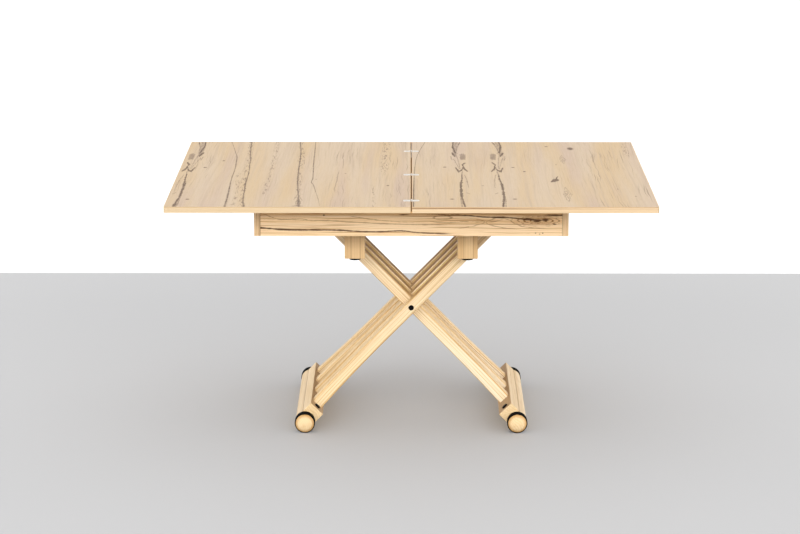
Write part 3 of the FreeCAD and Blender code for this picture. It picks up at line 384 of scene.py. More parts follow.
    # families of wavy hairlines
    sway = net.mul(net.sub(net.grain(gx, gy, 20.0, 5.0, 67.0, 3.0), 0.5), 0.030)
    hair = net.step(net.grain(net.add(gx, sway), gy, 210.0, 2.6, 71.0, 2.0, 0.55), 0.56, 0.66)
    if side == "left":
        zone = net.m("MAXIMUM", net.mul(net.step(x, -0.13, -0.20), net.step(x, -0.27, -0.22)), net.mul(net.step(x, -0.60, -0.64), 0.8))
        zone = net.m("MAXIMUM", zone, net.mul(net.step(x, -0.11, -0.06), 0.9))
    else:
        zone = net.m("MAXIMUM", net.step(x, 0.50, 0.58), net.mul(net.step(x, 0.10, 0.05), 0.7))
    some = net.step(net.grain(gx, gy, 10.0, 2.4, 79.0, 2.0), 0.36, 0.60)
    col = net.mix(net.mul(net.mul(hair, net.mul(zone, some)), 0.60), col, CRACK_SOFT)
    # fibres break the strokes up along the grain
    fib = net.step(net.grain(gx, gy, 520.0, 16.0, 13.0, 3.0, 0.6), 0.36, 0.58)
    s1 = net.mul(net.step(strong.total, 1.15, 0.45), net.add(net.mul(fib, 0.30), 0.70))
    s2 = net.mul(net.step(soft.total, 1.2, 0.4), net.add(net.mul(fib, 0.45), 0.55))
    s3 = faint.total
    col = net.mix(net.mul(s3, 0.88), col, CRACK_SOFT)
    col = net.mix(net.mul(s2, 0.74), col, CRACK_SOFT)
    # the long cracks come and go
    gaps = net.step(net.grain(gx, gy, 26.0, 24.0, 83.0, 3.0, 0.6), 0.34, 0.62, 0.76, 1.0)
    s4 = net.mul(net.mul(net.step(lengthy.total, 1.3, 0.35), gaps), net.add(net.mul(fib, 0.30), 0.70))
    col = net.mix(net.mul(s4, 0.92), col, CRACK_MID)
    col = net.mix(net.mul(s1, 0.95), col, net.mix(net.step(fine, -0.1, 0.2), CRACK, CRACK_DEEP))
    # painted shade: the seam and the top faces beside it are darkened to stand for the shade in the groove
    seam = net.mul(net.step(net.m("ABSOLUTE", gx), 0.0030, 0.0022), net.step(net.nz, 0.9, 0.6))
    col = net.mix(net.mul(seam, 0.9), col, albedo(G_TOP, 150, 104, 66))
    net.bump(height, 0.30, 0.0004)
    rough = net.add(net.mul(s1, 0.10), net.step(net.grain(gx, gy, 300.0, 12.0, 3.0, 2.0), 0.3, 0.7, 0.48, 0.58))
    return net.finish(col, rough, 0.07)


paint(top_material("top_oak_left", "left"), "left_leaf_panel")
paint(top_material("top_oak_right", "right"), "right_leaf_panel")


# ------------------------------------------------------------------ edge band
def edging_material(name, seed, streak, gain):
    net = Net(name)
    tones = ((241, 213, 176), (232, 202, 162), (196, 160, 118)) if streak else ((249, 222, 183), (241, 211, 168), (206, 170, 124))
    light, warm, ring = [albedo(gain, *t) for t in tones]
    # run length: along X on the front and back, along Y on the ends
    side = net.step(net.m("ABSOLUTE", net.nx), 0.6, 0.8)
    along = net.add(net.mul(net.x, net.sub(1.0, side)), net.mul(net.y, side))
    t = net.add(net.z, net.mul(net.add(net.mul(net.y, net.sub(1.0, side)), net.mul(net.x, side)), 0.02))
    band = net.grain(t, along, 120.0, 1.3, seed, 3.0)
    col = net.mix(net.step(band, 0.35, 0.68), light, warm)
    fibre = net.grain(t, along, 1500.0, 12.0, seed + 5.0, 3.0, 0.6)
    col = net.mix(net.mul(net.step(fibre, 0.52, 0.74), 0.26), col, ring)
    if streak:
        warp = net.mul(net.sub(net.grain(t, along, 3.0, 2.6, seed + 9.0, 2.0), 0.5), 0.007)
        d = net.m("ABSOLUTE", net.sub(net.add(t, warp), net.step(net.x, 0.0, 0.72, 0.7458, 0.7440, False)))
        line = net.mul(net.step(d, 0.0026, 0.0008), net.step(net.x, 0.62, 0.18, 0.15, 1.0))
        line = net.mul(line, net.step(net.m("ABSOLUTE", net.ny), 0.5, 0.8))
        col = net.mix(net.mul(line, 0.82), col, albedo(gain, 146, 108, 72))
        d2 = net.m("ABSOLUTE", net.sub(net.add(t, net.mul(warp, 1.6)), 0.7345))
        line2 = net.mul(net.step(d2, 0.0010, 0.0002), net.step(net.grain(t, along, 6.0, 3.0, seed + 15.0, 2.0), 0.46, 0.62))
        col = net.mix(net.mul(line2, 0.35), col, ring)
    if streak:
        # painted shade in the right front corner of the band
        corner_shade = net.mul(net.step(net.x, 0.7166, 0.7182), net.step(net.ny, -0.3, -0.6))
        col = net.mix(net.mul(corner_shade, 0.60), col, albedo(gain, 150, 112, 76))
    # worn upper arris
    arris = net.mul(net.step(net.z, 0.7566, 0.7584), net.step(net.m("ABSOLUTE", net.nz), 0.8, 0.3))
    col = net.mix(net.mul(arris, 0.75 if streak else 0.40), col, ring)
    seam = net.step(net.m("ABSOLUTE", net.x), 0.0030, 0.0022)
    # groove along the seam in painted shade, with a painted warm glow behind the apron where light comes up through the
    # gap
    groove = net.mix(net.step(net.y, 0.31, 0.35), albedo(gain, 226, 174, 114), albedo(gain, 178, 112, 14))
    col = net.mix(net.mul(seam, 0.92), col, groove)
    net.bump(fibre, 0.12, 0.0002)
    return net.finish(col, net.step(fibre, 0.3, 0.7, 0.44, 0.54), 0.12)


paint(edging_material("edge_band_left", 3.0, False, 1.61), "left_leaf_edging")
paint(edging_material("edge_band_right", 27.0, True, 1.37), "right_leaf_edging")


# --------------------------------------------------------------- apron boards
G_AP = 1.01
AP_LIGHT = albedo(G_AP, 243, 215, 178)
AP_WARM = albedo(G_AP, 236, 204, 160)
AP_PINK = albedo(G_AP, 238, 208, 170)
AP_DARK = albedo(G_AP, 220, 184, 136)
AP_RING = albedo(G_AP, 170, 124, 72)
AP_BROWN = albedo(G_AP, 132, 90, 50)
AP_CRACK = albedo(G_AP, 72, 46, 28)


def apron_base(net, u, v, seed):
    col, height = oak(net, u, v, seed, AP_LIGHT, AP_WARM, AP_PINK, AP_DARK, AP_RING, 0.50)
    wob = net.sub(net.grain(u, v, 60.0, 10.0, seed + 2.0, 4.0, 0.65), 0.5)
    fine = net.sub(net.grain(u, v, 300.0, 40.0, seed + 4.0, 3.0, 0.6), 0.5)
    return col, height, net.add(net.mul(wob, 0.7), fine)


def rail_material(name, seed, flip):
    """Front or back rail, grain along the rail. flip mirrors the pattern."""
    net = Net(name)
    x = net.mul(net.x, -1.0) if flip else net.x
    z = net.z
    col, height, edge = apron_base(net, z, x, seed)
    lo, hi = -0.47, 0.47
    thin = net.step(net.grain(z, x, 30.0, 30.0, seed + 19.0, 3.0, 0.6), 0.30, 0.68, 0.85, 1.75)
    strong, soft = Gather(net, "MINIMUM"), Gather(net, "MINIMUM")
    strong.append(crack(net, z, x, [(-0.47, 0.6600), (-0.449, 0.659), (-0.361, 0.653), (-0.235, 0.652), (-0.102, 0.647), (-0.036, 0.650), (0.008, 0.6456),
                                    (0.07, 0.642), (0.131, 0.640), (0.47, 0.633)],
                        [(-0.47, 0.0026), (-0.36, 0.0022), (-0.25, 0.0024), (-0.12, 0.0018), (0.0, 0.0016), (0.09, 0.0013), (0.15, 0.0), (0.47, 0.0)],
                        edge, lo, hi, 0.0014, thin))
    soft.append(crack(net, z, x, [(-0.47, 0.684), (-0.271, 0.681), (-0.195, 0.678), (-0.10, 0.6725), (0.024, 0.669), (0.2, 0.668), (0.47, 0.66)],
                      [(-0.47, 0.0), (-0.30, 0.0008), (-0.15, 0.0014), (0.05, 0.0012), (0.15, 0.0), (0.47, 0.0)], edge, lo, hi, 0.004, thin))
    soft.append(crack(net, z, x, [(-0.47, 0.690), (-0.20, 0.6955), (-0.17, 0.6930), (-0.12, 0.6850), (-0.04, 0.6780), (0.04, 0.6745), (0.47, 0.67)],
                      [(-0.47, 0.0), (-0.20, 0.0), (-0.17, 0.0009), (-0.05, 0.0010), (0.04, 0.0), (0.47, 0.0)], edge, lo, hi, 0.004, thin))
    strong.append(crack(net, z, x, [(-0.47, 0.703), (0.087, 0.699), (0.158, 0.6975), (0.227, 0.692), (0.274, 0.691), (0.336, 0.6855), (0.47, 0.679)],
                        [(-0.47, 0.0), (0.03, 0.0), (0.10, 0.0012), (0.2, 0.0016), (0.30, 0.0022), (0.38, 0.0016), (0.42, 0.0), (0.47, 0.0)],
                        edge, lo, hi, 0.004, thin))
    strong.append(crack(net, z, x, [(-0.47, 0.700), (0.33, 0.6995), (0.404, 0.698), (0.47, 0.6975)],
                        [(-0.47, 0.0), (0.36, 0.0), (0.40, 0.0012), (0.43, 0.0020), (0.47, 0.0020)], edge, lo, hi, 0.003, thin))
    for pts in ([(-0.47, 0.700), (0.26, 0.690), (0.312, 0.6697), (0.36, 0.660), (0.47, 0.655)], [(-0.47, 0.690), (0.18, 0.6878), (0.234, 0.668), (0.309, 0.6557), (0.47, 0.648)]):
        a = pts[1][0]
        soft.append(crack(net, z, x, pts, [(-0.47, 0.0), (a - 0.02, 0.0), (a + 0.03, 0.0011), (a + 0.12, 0.0009), (a + 0.16, 0.0), (0.47, 0.0)],
                          edge, lo, hi, 0.004, thin))
    # wavy lines that run into the knots and along the upper left
    for pts, wid in (([(-0.47, 0.680), (0.041, 0.6788), (0.10, 0.6752), (0.16, 0.6771), (0.22, 0.6765), (0.273, 0.6839), (0.47, 0.690)],
                      [(-0.47, 0.0), (0.03, 0.0), (0.07, 0.0010), (0.22, 0.0012), (0.27, 0.0007), (0.29, 0.0), (0.47, 0.0)]),
                     ([(-0.47, 0.650), (0.13, 0.6569), (0.166, 0.6618), (0.207, 0.671), (0.243, 0.6863), (0.27, 0.6924), (0.47, 0.695)],
                      [(-0.47, 0.0), (0.12, 0.0), (0.15, 0.0008), (0.24, 0.0012), (0.27, 0.0013), (0.285, 0.0), (0.47, 0.0)]),
                     ([(-0.47, 0.706), (-0.441, 0.7009), (-0.411, 0.6906), (-0.376, 0.6845), (-0.328, 0.6858), (-0.298, 0.6809), (-0.245, 0.6828), (0.47, 0.69)],
                      [(-0.47, 0.0008), (-0.40, 0.0013), (-0.33, 0.0011), (-0.25, 0.0007), (-0.23, 0.0), (0.47, 0.0)])):
        soft.append(crack(net, z, x, pts, wid, edge, lo, hi, 0.005, thin))
    for cx, cz, rx, rz in ((0.347, 0.6855, 0.015, 0.0046), (0.373, 0.6800, 0.014, 0.0050), (0.399, 0.6838, 0.013, 0.0054),
                           (0.4265, 0.6703, 0.0065, 0.0028), (0.370, 0.6435, 0.003, 0.0018), (0.382, 0.6402, 0.003, 0.0016),
                           (0.391, 0.6435, 0.003, 0.0018), (-0.260, 0.6974, 0.004, 0.0026), (-0.022, 0.6990, 0.018, 0.0022)):
        du = net.m("DIVIDE", net.sub(x, cx), rx)
        dv = net.m("DIVIDE", net.sub(net.add(z, net.mul(edge, 0.005)), cz), rz)
        strong.append(net.m("SQRT", net.add(net.mul(du, du), net.mul(dv, dv))))
    # open oval left of the knots
    du = net.m("DIVIDE", net.sub(x, 0.093), 0.026)
    dv = net.m("DIVIDE", net.sub(net.add(z, net.mul(edge, 0.003)), 0.6900), 0.0058)
    ov = net.m("ABSOLUTE", net.sub(net.m("SQRT", net.add(net.mul(du, du), net.mul(dv, dv))), 1.0))
    soft.append(net.add(net.m("DIVIDE", ov, 0.26), net.step(edge, -0.15, 0.25, 0.0, 0.8)))
    # rings that flow round the knots on the right
    dx = net.mul(net.sub(x, 0.378), 0.20)
    dz = net.sub(net.add(z, net.mul(edge, 0.012)), 0.6815)
    d = net.m("SQRT", net.add(net.mul(dx, dx), net.mul(dz, dz)))
    flow = net.mul(net.step(net.m("SINE", net.mul(d, 1650.0)), 0.3, 0.95), net.step(d, 0.021, 0.008))
    # fine dark grain
    sway = net.mul(net.sub(net.grain(z, x, 40.0, 2.2, seed + 61.0, 3.0), 0.5), 0.016)
    hair = net.step(net.grain(net.add(z, sway), x, 235.0, 2.6, seed + 63.0, 2.0, 0.55), 0.555, 0.625)
    col = net.mix(net.mul(hair, 0.72), col, AP_RING)
    # clouded grain streaks, kept to the upper edge, where they also darken it as painted shade under the tabletop
    cloud = net.mul(net.step(net.grain(z, x, 70.0, 4.2, seed + 51.0, 4.0, 0.65), 0.48, 0.70), net.step(z, 0.666, 0.700))
    col = net.mix(net.mul(cloud, 0.30), col, AP_RING)
    halo = net.mul(net.step(d, 0.024, 0.004), 0.50)
    col = net.mix(halo, col, AP_RING)
    col = net.mix(net.mul(flow, 0.90), col, AP_BROWN)
    s1, s2 = net.step(strong.total, 1.15, 0.4), net.step(soft.total, 1.2, 0.4)
    col = net.mix(net.mul(s2, 0.55), col, AP_BROWN)
    col = net.mix(net.mul(s1, 0.92), col, AP_CRACK)
    # painted shade along the top edge, under the tabletop's overhang
    col = net.mix(net.step(z, 0.691, 0.700), col, (0.74, 0.60, 0.43), "MULTIPLY")
    # painted light: a lighter band below it
    col = net.mix(net.mul(net.step(z, 0.668, 0.678), net.step(z, 0.693, 0.688)), col, (1.10, 1.07, 1.0), "MULTIPLY")
    # painted shade in the butt joints with the end boards
    joint_glue_and_shade = net.step(net.m("ABSOLUTE", net.x), 0.4480, 0.4496)
    col = net.mix(net.mul(joint_glue_and_shade, 0.75), col, albedo(G_AP, 96, 66, 40))
    net.bump(height, 0.35, 0.0004)
    return net.finish(col, net.step(edge, -0.4, 0.4, 0.48, 0.58), 0.12)


paint(rail_material("apron_oak_front", 12.0, False), "front_rail")
paint(rail_material("apron_oak_back", 73.0, True), "back_rail")


def end_board_material(name, seed, gain):
    """End board: decor along Y on the faces, plain band on the edges."""
    net = Net(name)
    col, height, edge = apron_base(net, net.z, net.y, seed)
    first = crack(net, net.z, net.y, [(-0.34, 0.668), (-0.1, 0.661), (0.1, 0.663), (0.34, 0.657)],
                  [(-0.34, 0.0014), (-0.1, 0.0022), (0.12, 0.0017), (0.22, 0.0), (0.34, 0.0)], edge, -0.34, 0.34, 0.003)
    second = crack(net, net.z, net.y, [(-0.34, 0.706), (0.0, 0.703), (0.2, 0.696), (0.34, 0.698)],
                   [(-0.34, 0.0), (-0.05, 0.0), (0.1, 0.0014), (0.34, 0.0018)], edge, -0.34, 0.34, 0.004)
    dark = net.step(net.m("MINIMUM", first, second), 1.15, 0.4)
    col = net.mix(net.mul(dark, 0.8), col, AP_CRACK)
    # edges: vertical strands
    strand = net.grain(net.add(net.x, net.mul(net.y, 0.3)), net.z, 520.0, 6.0, seed + 40.0, 3.0, 0.6)
    band = net.mix(net.step(strand, 0.36, 0.70), albedo(gain, 230, 199, 158), albedo(gain, 200, 163, 118))
    on_edge = net.step(net.m("ABSOLUTE", net.nx), 0.7, 0.4)
    for place, half, amount in ((-0.4597, 0.0013, 0.40), (-0.4524, 0.0016, 0.62)):
        line = net.step(net.m("ABSOLUTE", net.sub(net.x, place)), half, half * 0.4)
        band = net.mix(net.mul(line, amount), band, albedo(gain, 140, 104, 66))
    col = net.mix(on_edge, col, band)
    net.bump(net.sub(height, net.mul(dark, 1.2)), 0.3, 0.0004)
    return net.finish(col, net.step(strand, 0.3, 0.7, 0.47, 0.57), 0.12)


paint(end_board_material("apron_end_left", 31.0, 1.04), "left_end_board")
paint(end_board_material("apron_end_right", 57.0, 1.03), "right_end_board")


# ------------------------------------------------------------------ solid wood
def wood(net, a, b, c, seed, light, warm, ring, rings=340.0):
    """Lacquered solid wood: a runs along the grain, b and c across it."""
    warp = net.noise(net.vec(net.mul(a, 1.6), net.mul(b, 9.0), net.add(net.mul(c, 9.0), seed)), 1.0, 3.0)
    off = net.mul(net.sub(warp, 0.5), 0.05)
    core = net.m("SQRT", net.add(net.m("POWER", net.add(b, net.add(off, 0.045)), 2.0), net.m("POWER", net.add(c, net.add(off, 0.02)), 2.0)))
    wave = net.m("SINE", net.mul(core, rings * 2.2))
    late = net.step(wave, 0.15, 1.0)
    tone = net.noise(net.vec(net.mul(a, 2.2), net.mul(b, 30.0), net.add(net.mul(c, 30.0), seed + 5.0)), 1.0, 3.0)
    col = net.mix(net.step(tone, 0.34, 0.70), light, warm)
    col = net.mix(net.mul(late, 0.20), col, ring)
    fibre = net.noise(net.vec(net.mul(a, 14.0), net.mul(b, 900.0), net.add(net.mul(c, 900.0), seed + 9.0)), 1.0, 3.0, 0.6)
    col = net.mix(net.mul(net.step(fibre, 0.54, 0.76), 0.26), col, ring)
    return col, fibre, late


G_FOOT = 1.35
ANG = math.radians(45.7)
PIVOT_Z = 0.364012
PITCH, FOOT_PITCH, BEND, RUN = 0.040, 0.055, 0.130, 0.2833


def bar_material(name, sign, k, seed, pale):
    """Bent bar: veneers glued in the Y direction, so their glue lines show on
    the upper and lower faces and follow the bend."""
    net = Net(name)
    gain = 1.29 if sign > 0 else 1.23
    bar_light, bar_warm, bar_pale = albedo(gain, 254, 231, 194), albedo(gain, 246, 218, 172), albedo(gain, 255, 237, 208)
    bar_ring, bar_edge, bar_flank = albedo(gain, 204, 162, 106), albedo(gain, 212, 166, 96), albedo(gain, 240, 210, 160)
    dz = net.sub(net.z, PIVOT_Z)
    s = net.add(net.mul(net.x, sign * math.cos(ANG)), net.mul(dz, math.sin(ANG)))
    t = net.add(net.mul(net.x, -sign * math.sin(ANG)), net.mul(dz, math.cos(ANG)))
    w = net.sub(net.y, k * PITCH)
    if k:
        off = abs(k) * (FOOT_PITCH - PITCH)
        rad = (RUN * RUN + off * off) / (2 * off)
        drop = net.m("MAXIMUM", net.sub(net.mul(s, -1.0), BEND), 0.0)
        flare = net.sub(rad, net.m("SQRT", net.sub(rad * rad, net.mul(drop, drop))))
        w = net.sub(w, net.mul(flare, math.copysign(1.0, k)))
    # every veneer has its own tone
    ply = net.m("FLOOR", net.mul(net.add(w, 0.018), 1.0 / 0.0045))
    shade = net.noise(net.vec(net.mul(ply, 3.7), seed, net.mul(s, 0.9)), 1.0, 2.0)
    tone = net.noise(net.vec(net.mul(s, 2.4), net.mul(t, 34.0), net.add(net.mul(w, 60.0), seed)), 1.0, 3.0)
    blendf = net.add(net.mul(shade, 0.6), net.mul(tone, 0.4))
    col = net.mix(net.step(blendf, 0.36, 0.66), bar_light, bar_warm)
    # one end of the bar is paler than the other
    col = net.mix(net.step(s, 0.05, -0.30, 0.0, abs(pale)), col, bar_pale if pale > 0 else bar_warm)
    # lengthwise figure on the wide faces
    warp = net.mul(net.sub(net.noise(net.vec(net.mul(s, 2.0), net.mul(t, 20.0), seed + 3.0), 1.0, 3.0), 0.5), 0.012)
    tw = net.add(t, warp)
    broad = net.noise(net.vec(net.mul(s, 1.1), net.mul(tw, 130.0), seed + 8.0), 1.0, 2.0)
    col = net.mix(net.mul(net.step(broad, 0.46, 0.70), 0.55), col, bar_flank)
    fig = net.noise(net.vec(net.mul(s, 1.6), net.mul(tw, 330.0), seed + 14.0), 1.0, 2.0)
    col = net.mix(net.mul(net.step(fig, 0.50, 0.66), 0.66), col, bar_ring)
    # a few long growth lines on the wide faces
    turn = net.add(net.mul(tw, 1.0 / 0.0086), seed * 0.37)
    which = net.m("FLOOR", turn)
    off_line = net.m("ABSOLUTE", net.sub(net.m("FRACT", turn), 0.5))
    come = net.step(net.noise(net.vec(net.mul(which, 3.1), net.mul(s, 3.0), seed + 21.0), 1.0, 2.0), 0.36, 0.58)
    col = net.mix(net.mul(net.mul(net.step(off_line, 0.15, 0.05), come), 0.70), col, albedo(gain, 186, 142, 84))
    if k != (-3 if sign > 0 else -2):
        # painted shade: the rear bars are browner above the crossing, on their front faces
        rear = net.mul(net.step(net.ny, -0.5, -0.8), net.step(s, -0.03, 0.05))
        col = net.mix(net.mul(rear, 0.80), col, albedo(1.04, 213, 180, 112))
    # glue lines
    ph = net.m("FRACT", net.mul(net.add(w, 0.018), 1.0 / 0.0045))
    glue = net.mul(net.step(net.m("ABSOLUTE", net.sub(ph, 0.5)), 0.40, 0.48), net.step(net.m("ABSOLUTE", w), 0.0172, 0.0160))
    edge_on = net.step(net.m("ABSOLUTE", net.ny), 0.75, 0.45)
    # upper and lower faces take the darker, more saturated flank tone: partly grain colour, partly painted shade
    col = net.mix(net.mul(edge_on, 0.60), col, bar_flank)
    glue = net.mul(glue, edge_on)
    # above the crossing the upper faces get painted shade, with a painted highlight on the front arris
    upper = net.mul(edge_on, net.step(s, -0.03, 0.05))
    col = net.mix(net.mul(upper, net.step(shade, 0.35, 0.65, 0.60, 0.88)), col, albedo(gain, 176, 122, 44))
    col = net.mix(net.mul(glue, 0.65), col, albedo(gain, 172, 128, 74))
    fibre = net.noise(net.vec(net.mul(s, 16.0), net.mul(t, 1000.0), net.add(net.mul(w, 1000.0), seed)), 1.0, 3.0, 0.6)
    col = net.mix(net.mul(net.step(fibre, 0.54, 0.76), 0.24), col, bar_ring)
    # lacquer gathers along the eased edges
    worn = net.mul(net.step(net.m("ABSOLUTE", t), 0.0138, 0.0158), net.step(net.m("ABSOLUTE", w), 0.0142, 0.0164))
    col = net.mix(net.mul(worn, 0.70), col, bar_edge)
    if k != (-3 if sign > 0 else -2):
        # painted highlight: a pale line on the eased front edge of the rear bars, above the crossing
        facet_highlight = net.mul(net.step(net.ny, -0.45, -0.60), net.step(net.ny, -0.985, -0.95))
        arris = net.mul(net.mul(facet_highlight, net.step(t, 0.0, 0.006)), net.step(s, -0.03, 0.05))
        col = net.mix(net.mul(arris, 0.95), col, (0.97, 0.82, 0.58))
    net.bump(net.sub(net.mul(fibre, 0.5), net.mul(glue, 0.7)), 0.18, 0.0003)
    return net.finish(col, net.step(fibre, 0.3, 0.75, 0.44, 0.56), 0.12)


for i, k in enumerate((-3, -1, 1, 3), start=1):
    paint(bar_material("bar_wood_a%d" % i, 1.0, k, 10.0 * i + 1.0, -0.5), "cross_bar_a%d" % i)
for i, k in enumerate((-2, 0, 2), start=1):
    paint(bar_material("bar_wood_b%d" % i, -1.0, k, 10.0 * i + 57.0, 0.8), "cross_bar_b%d" % i)


def foot_material(name, seed):
    """Round foot, rail and dowels: grain along Y."""
    net = Net(name)
    cx = math.copysign(0.324973, seed)
    col, fibre, late = wood(net, net.y, net.sub(net.x, cx), net.sub(net.z, 0.031), abs(seed), albedo(G_FOOT, 247, 222, 184), albedo(G_FOOT, 237, 208, 163),
                            albedo(G_FOOT, 200, 160, 106), 420.0)
    # lengthwise lines
    ax, az = net.sub(net.x, cx), net.sub(net.z, 0.031)
    lines = net.noise(net.vec(net.mul(net.y, 1.4), net.mul(ax, 190.0), net.add(net.mul(az, 190.0), seed)), 1.0, 2.0)
    col = net.mix(net.mul(net.step(lines, 0.54, 0.68), 0.42), col, albedo(G_FOOT, 196, 154, 100))
    # end faces show the year rings a little darker, and a darker rim
    endf = net.step(net.m("ABSOLUTE", net.ny), 0.45, 0.85)
    col = net.mix(net.mul(net.mul(endf, late), 0.22), col, albedo(G_FOOT, 188, 144, 84))
    far = net.m("SQRT", net.add(net.mul(ax, ax), net.mul(az, az)))
    col = net.mix(net.mul(endf, 0.40), col, albedo(1.37, 249, 213, 151))
    rim = net.mul(net.step(far, 0.018, 0.028), net.step(net.m("ABSOLUTE", net.y), 0.262, 0.264))
    col = net.mix(net.mul(rim, 0.85), col, albedo(G_FOOT, 198, 146, 76))
    # dark line where the rail sits on the flat of the foot
    rise = net.add(net.mul(ax, -math.copysign(math.cos(ANG), seed)), net.mul(az, math.sin(ANG)))
    seat = net.mul(net.step(net.m("ABSOLUTE", net.sub(rise, 0.0160)), 0.0024, 0.0008), net.step(far, 0.0262, 0.0275))
    col = net.mix(net.mul(seat, 0.75), col, albedo(G_FOOT, 150, 112, 66))
    # the face under the bars lies in their shade
    lean = net.add(net.mul(net.nx, -math.copysign(math.cos(ANG), seed)), net.mul(net.nz, math.sin(ANG)))
    shade = net.mul(net.step(lean, 0.80, 0.95), net.step(rise, 0.030, 0.034))
    col = net.mix(net.mul(shade, 0.70), col, albedo(G_FOOT, 150, 108, 58))
    net.bump(fibre, 0.16, 0.0003)
    return net.finish(col, net.step(fibre, 0.3, 0.75, 0.42, 0.54), 0.15)


paint(foot_material("foot_wood_left", -7.0), "left_foot_rail", "left_round_foot", "left_bar_dowels")
paint(foot_material("foot_wood_right", 19.0), "right_foot_rail", "right_round_foot", "right_bar_dowels")


G_BLOCK = 1.12


def block_material(name, seed, cx, cy):
    """Support block: upright grain, glued from three strips."""
    net = Net(name)
    bx = net.sub(net.x, cx)
    strip = net.add(net.m("GREATER_THAN", bx, -0.0115), net.m("GREATER_THAN", bx, 0.0165))
    tone = net.noise(net.vec(net.mul(strip, 5.3), seed, net.mul(net.z, 1.5)), 1.0, 2.0)
    col, fibre, late = wood(net, net.z, net.add(bx, net.mul(strip, 0.031)), net.sub(net.y, cy), seed, albedo(G_BLOCK, 226, 194, 147), albedo(G_BLOCK, 216, 180, 130),
                            albedo(G_BLOCK, 172, 132, 84), 300.0)
    col = net.mix(net.step(tone, 0.42, 0.62, 0.0, 0.45), col, albedo(G_BLOCK, 196, 154, 106))
    joint_glue_and_shade = net.m("MAXIMUM", *[net.step(net.m("ABSOLUTE", net.sub(bx, c)), 0.0012, 0.0003) for c in (-0.0115, 0.0165)])
    joint_glue_and_shade = net.mul(joint_glue_and_shade, net.step(net.m("ABSOLUTE", net.nx), 0.7, 0.4))
    col = net.mix(net.mul(joint_glue_and_shade, 0.65), col, albedo(G_BLOCK, 138, 98, 58))
    net.bump(net.sub(fibre, net.mul(joint_glue_and_shade, 0.8)), 0.2, 0.0003)
    return net.finish(col, net.step(fibre, 0.3, 0.75, 0.44, 0.56), 0.14)


for i, (n, sx, sy) in enumerate((("front_left", -1, -1), ("front_right", 1, -1), ("back_left", -1, 1), ("back_right", 1, 1))):
    paint(block_material("block_wood_" + n, 5.0 + 9.0 * i, 0.171 * sx, 0.187 * sy), n + "_support_block")


def inner_material(name, seed, axis):
    net = Net(name)
    a, b, c = {"x": (net.x, net.z, net.y), "z": (net.z, net.x, net.y)}[axis]
    col, fibre, late = wood(net, a, b, c, seed, lin(222, 192, 150), lin(208, 174, 130), lin(168, 130, 88), 260.0)
    net.bump(fibre, 0.3, 0.0004)
    return net.finish(col, net.step(fibre, 0.3, 0.75, 0.52, 0.66), 0.25)


paint(inner_material("inner_wood_boards", 4.0, "x"), "front_guide_board", "back_guide_board", "swivel_board")
paint(inner_material("inner_wood_corner", 16.0, "z"), "corner_blocks")


# ---------------------------------------------------------- metal, plastic, felt
def metal_material(name, base, dull, rough_lo, rough_hi, along):
    net = Net(name)
    a, b = {"x": (net.x, net.y), "y": (net.y, net.x), "z": (net.z, net.x)}[along]
    brush = net.noise(net.vec(net.mul(a, 60.0), net.mul(b, 3200.0), net.mul(net.z, 900.0)), 1.0, 2.0)
    cloud = net.noise(net.p, 70.0, 3.0)
    col = net.mix(net.step(cloud, 0.35, 0.72), base, dull)
    col = net.mix(net.mul(net.step(brush, 0.45, 0.7), 0.25), col, dull)
    net.bsdf.inputs["Metallic"].default_value = 1.0
    net.bump(brush, 0.08, 0.0002)
    return net.finish(col, net.step(brush, 0.3, 0.7, rough_lo, rough_hi), 0.5)


paint(metal_material("hinge_nickel", lin(242, 238, 231), lin(224, 219, 210), 0.28, 0.42, "x"),
      "hinge_plates_right", "hinge_plates_left", "hinge_pins", "hinge_screws_right", "hinge_screws_left")
paint(metal_material("zinc_steel", lin(198, 198, 200), lin(164, 165, 168), 0.30, 0.46, "y"),
      "swivel_plate", "swivel_plate_screws", "swivel_bolt", "swivel_nut", "apron_screws", "left_foot_bolts", "right_foot_bolts",
      "centre_axle", "right_top_axle", "left_top_axle")


def moulded_material(name, dark, light, scale, rough_lo, rough_hi, depth, spec):
    net = Net(name)
    speck = net.noise(net.p, scale, 4.0, 0.6)
    cloud = net.noise(net.p, 45.0, 2.0)
    col = net.mix(net.step(net.add(net.mul(speck, 0.5), net.mul(cloud, 0.5)), 0.35, 0.68), dark, light)
    net.bump(speck, 0.25, depth)
    return net.finish(col, net.step(speck, 0.3, 0.7, rough_lo, rough_hi), spec)


paint(moulded_material("black_plastic", lin(5, 5, 6), lin(11, 11, 12), 900.0, 0.52, 0.66, 0.0002, 0.06),
      "centre_caps", "left_foot_caps", "right_foot_caps", "glide_pads")
paint(moulded_material("black_rubber", lin(4, 4, 4), lin(9, 9, 9), 1400.0, 0.70, 0.86, 0.0002, 0.04),
      "left_front_tread_ring", "left_back_tread_ring", "right_front_tread_ring", "right_back_tread_ring")
paint(moulded_material("white_nylon", lin(222, 220, 212), lin(236, 234, 228), 500.0, 0.40, 0.52, 0.0001, 0.35),
      "right_slider_shoes", "left_slider_shoes", "centre_washers", "swivel_bushing", "right_axle_spacers", "left_axle_spacers")
paint(moulded_material("grey_felt", lin(112, 108, 102), lin(150, 146, 138), 2600.0, 0.86, 0.98, 0.0005, 0.10), "slide_pads")


# ------------------------------------------------------------ floor, light, view
def floor_material():
    net = Net("studio_floor")
    cloud = net.noise(net.p, 0.7, 3.0)
    col = net.mix(net.step(cloud, 0.3, 0.7), lin(178, 178, 179), lin(182, 182, 182))
    return net.finish(col, 0.62, 0.2)


bpy.ops.mesh.primitive_plane_add(size=1.0, location=(0.0, -6.105, 0.0))
floor = bpy.context.object
floor.name = "studio_floor"
floor.scale = (24.0, 15.79, 1.0)
floor.data.materials.append(floor_material())

FRONT, SIDE = 3.1, 1.7
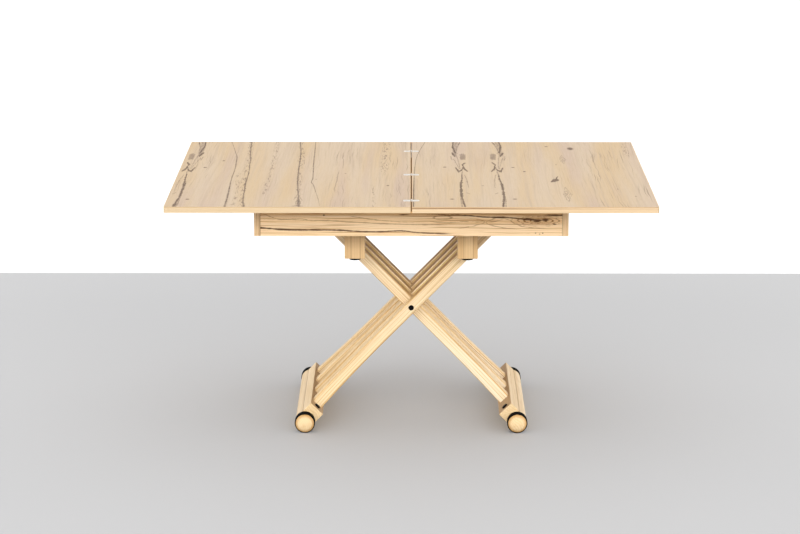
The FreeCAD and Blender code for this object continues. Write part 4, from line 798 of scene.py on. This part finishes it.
# Surround: white below the horizon, where the backdrop shows, dim along the
# horizon, brighter overhead, with broad soft bands of light in front and at
# both sides.
world = bpy.data.worlds.new("studio")
world.use_nodes = True
wt = world.node_tree


def world_step(value, lo, hi, to_lo, to_hi):
    n = wt.nodes.new("ShaderNodeMapRange")
    n.interpolation_type = "SMOOTHSTEP"
    wt.links.new(value, n.inputs["Value"])
    for key, v in (("From Min", lo), ("From Max", hi), ("To Min", to_lo), ("To Max", to_hi)):
        n.inputs[key].default_value = v
    return n.outputs[0]


def world_math(op, first, second):
    n = wt.nodes.new("ShaderNodeMath")
    n.operation = op
    wt.links.new(first, n.inputs[0])
    wt.links.new(second, n.inputs[1])
    return n.outputs[0]


way = wt.nodes.new("ShaderNodeTexCoord")
split = wt.nodes.new("ShaderNodeSeparateXYZ")
wt.links.new(way.outputs["Generated"], split.inputs[0])
across, deep, up = split.outputs
dome = world_math("ADD", world_step(up, -0.10, -0.03, 0.48, 0.0), world_step(up, 0.0, 0.45, 0.46, 0.72))
band = world_math("MULTIPLY", world_step(up, 0.16, 0.28, 0.0, 1.0), world_step(up, 0.62, 0.46, 0.0, 1.0))
band = world_math("MULTIPLY", band, world_step(deep, -0.25, -0.80, 0.0, FRONT))
wing = world_math("MULTIPLY", world_step(up, 0.02, 0.10, 0.0, 1.0), world_step(up, 0.46, 0.30, 0.0, 1.0))
wing = world_math("MULTIPLY", wing, world_step(world_math("MULTIPLY", across, across), 0.30, 0.75, 0.0, SIDE))
band = world_math("ADD", band, wing)
wt.nodes["Background"].inputs["Color"].default_value = (1.0, 1.0, 1.0, 1.0)
wt.links.new(world_math("ADD", dome, band), wt.nodes["Background"].inputs["Strength"])
scene.world = world


def softbox(name, place, aim, size, power):
    data = bpy.data.lights.new(name, "AREA")
    data.shape = "RECTANGLE"
    data.size, data.size_y = size
    data.energy = power
    lamp = bpy.data.objects.new(name, data)
    scene.collection.objects.link(lamp)
    lamp.location = place
    d = [a - b for a, b in zip(aim, place)]
    lamp.rotation_euler = (math.atan2(math.hypot(d[0], d[1]), -d[2]), 0.0, math.atan2(d[1], d[0]) - math.pi / 2)
    return lamp


softbox("side_left", (-5.2, 0.1, 1.3), (0.0, 0.0, 0.45), (3.0, 2.2), 18.0)
softbox("side_right", (5.2, 0.1, 1.3), (0.0, 0.0, 0.45), (3.0, 2.2), 15.0)

cam = bpy.data.cameras.new("camera")
cam.sensor_width = 36.0
cam.sensor_fit = "HORIZONTAL"
cam.lens = 2584.8 * 36.0 / 800.0
cam.clip_end = 100.0
camera = bpy.data.objects.new("camera", cam)
scene.collection.objects.link(camera)
camera.location = (-0.0038, -7.8295, 2.3634)
camera.rotation_euler = (math.radians(90.0 - 13.668), 0.0, math.radians(0.2275))
scene.camera = camera

scene.view_settings.view_transform = "Standard"
scene.view_settings.look = "None"
scene.view_settings.exposure = 0.5
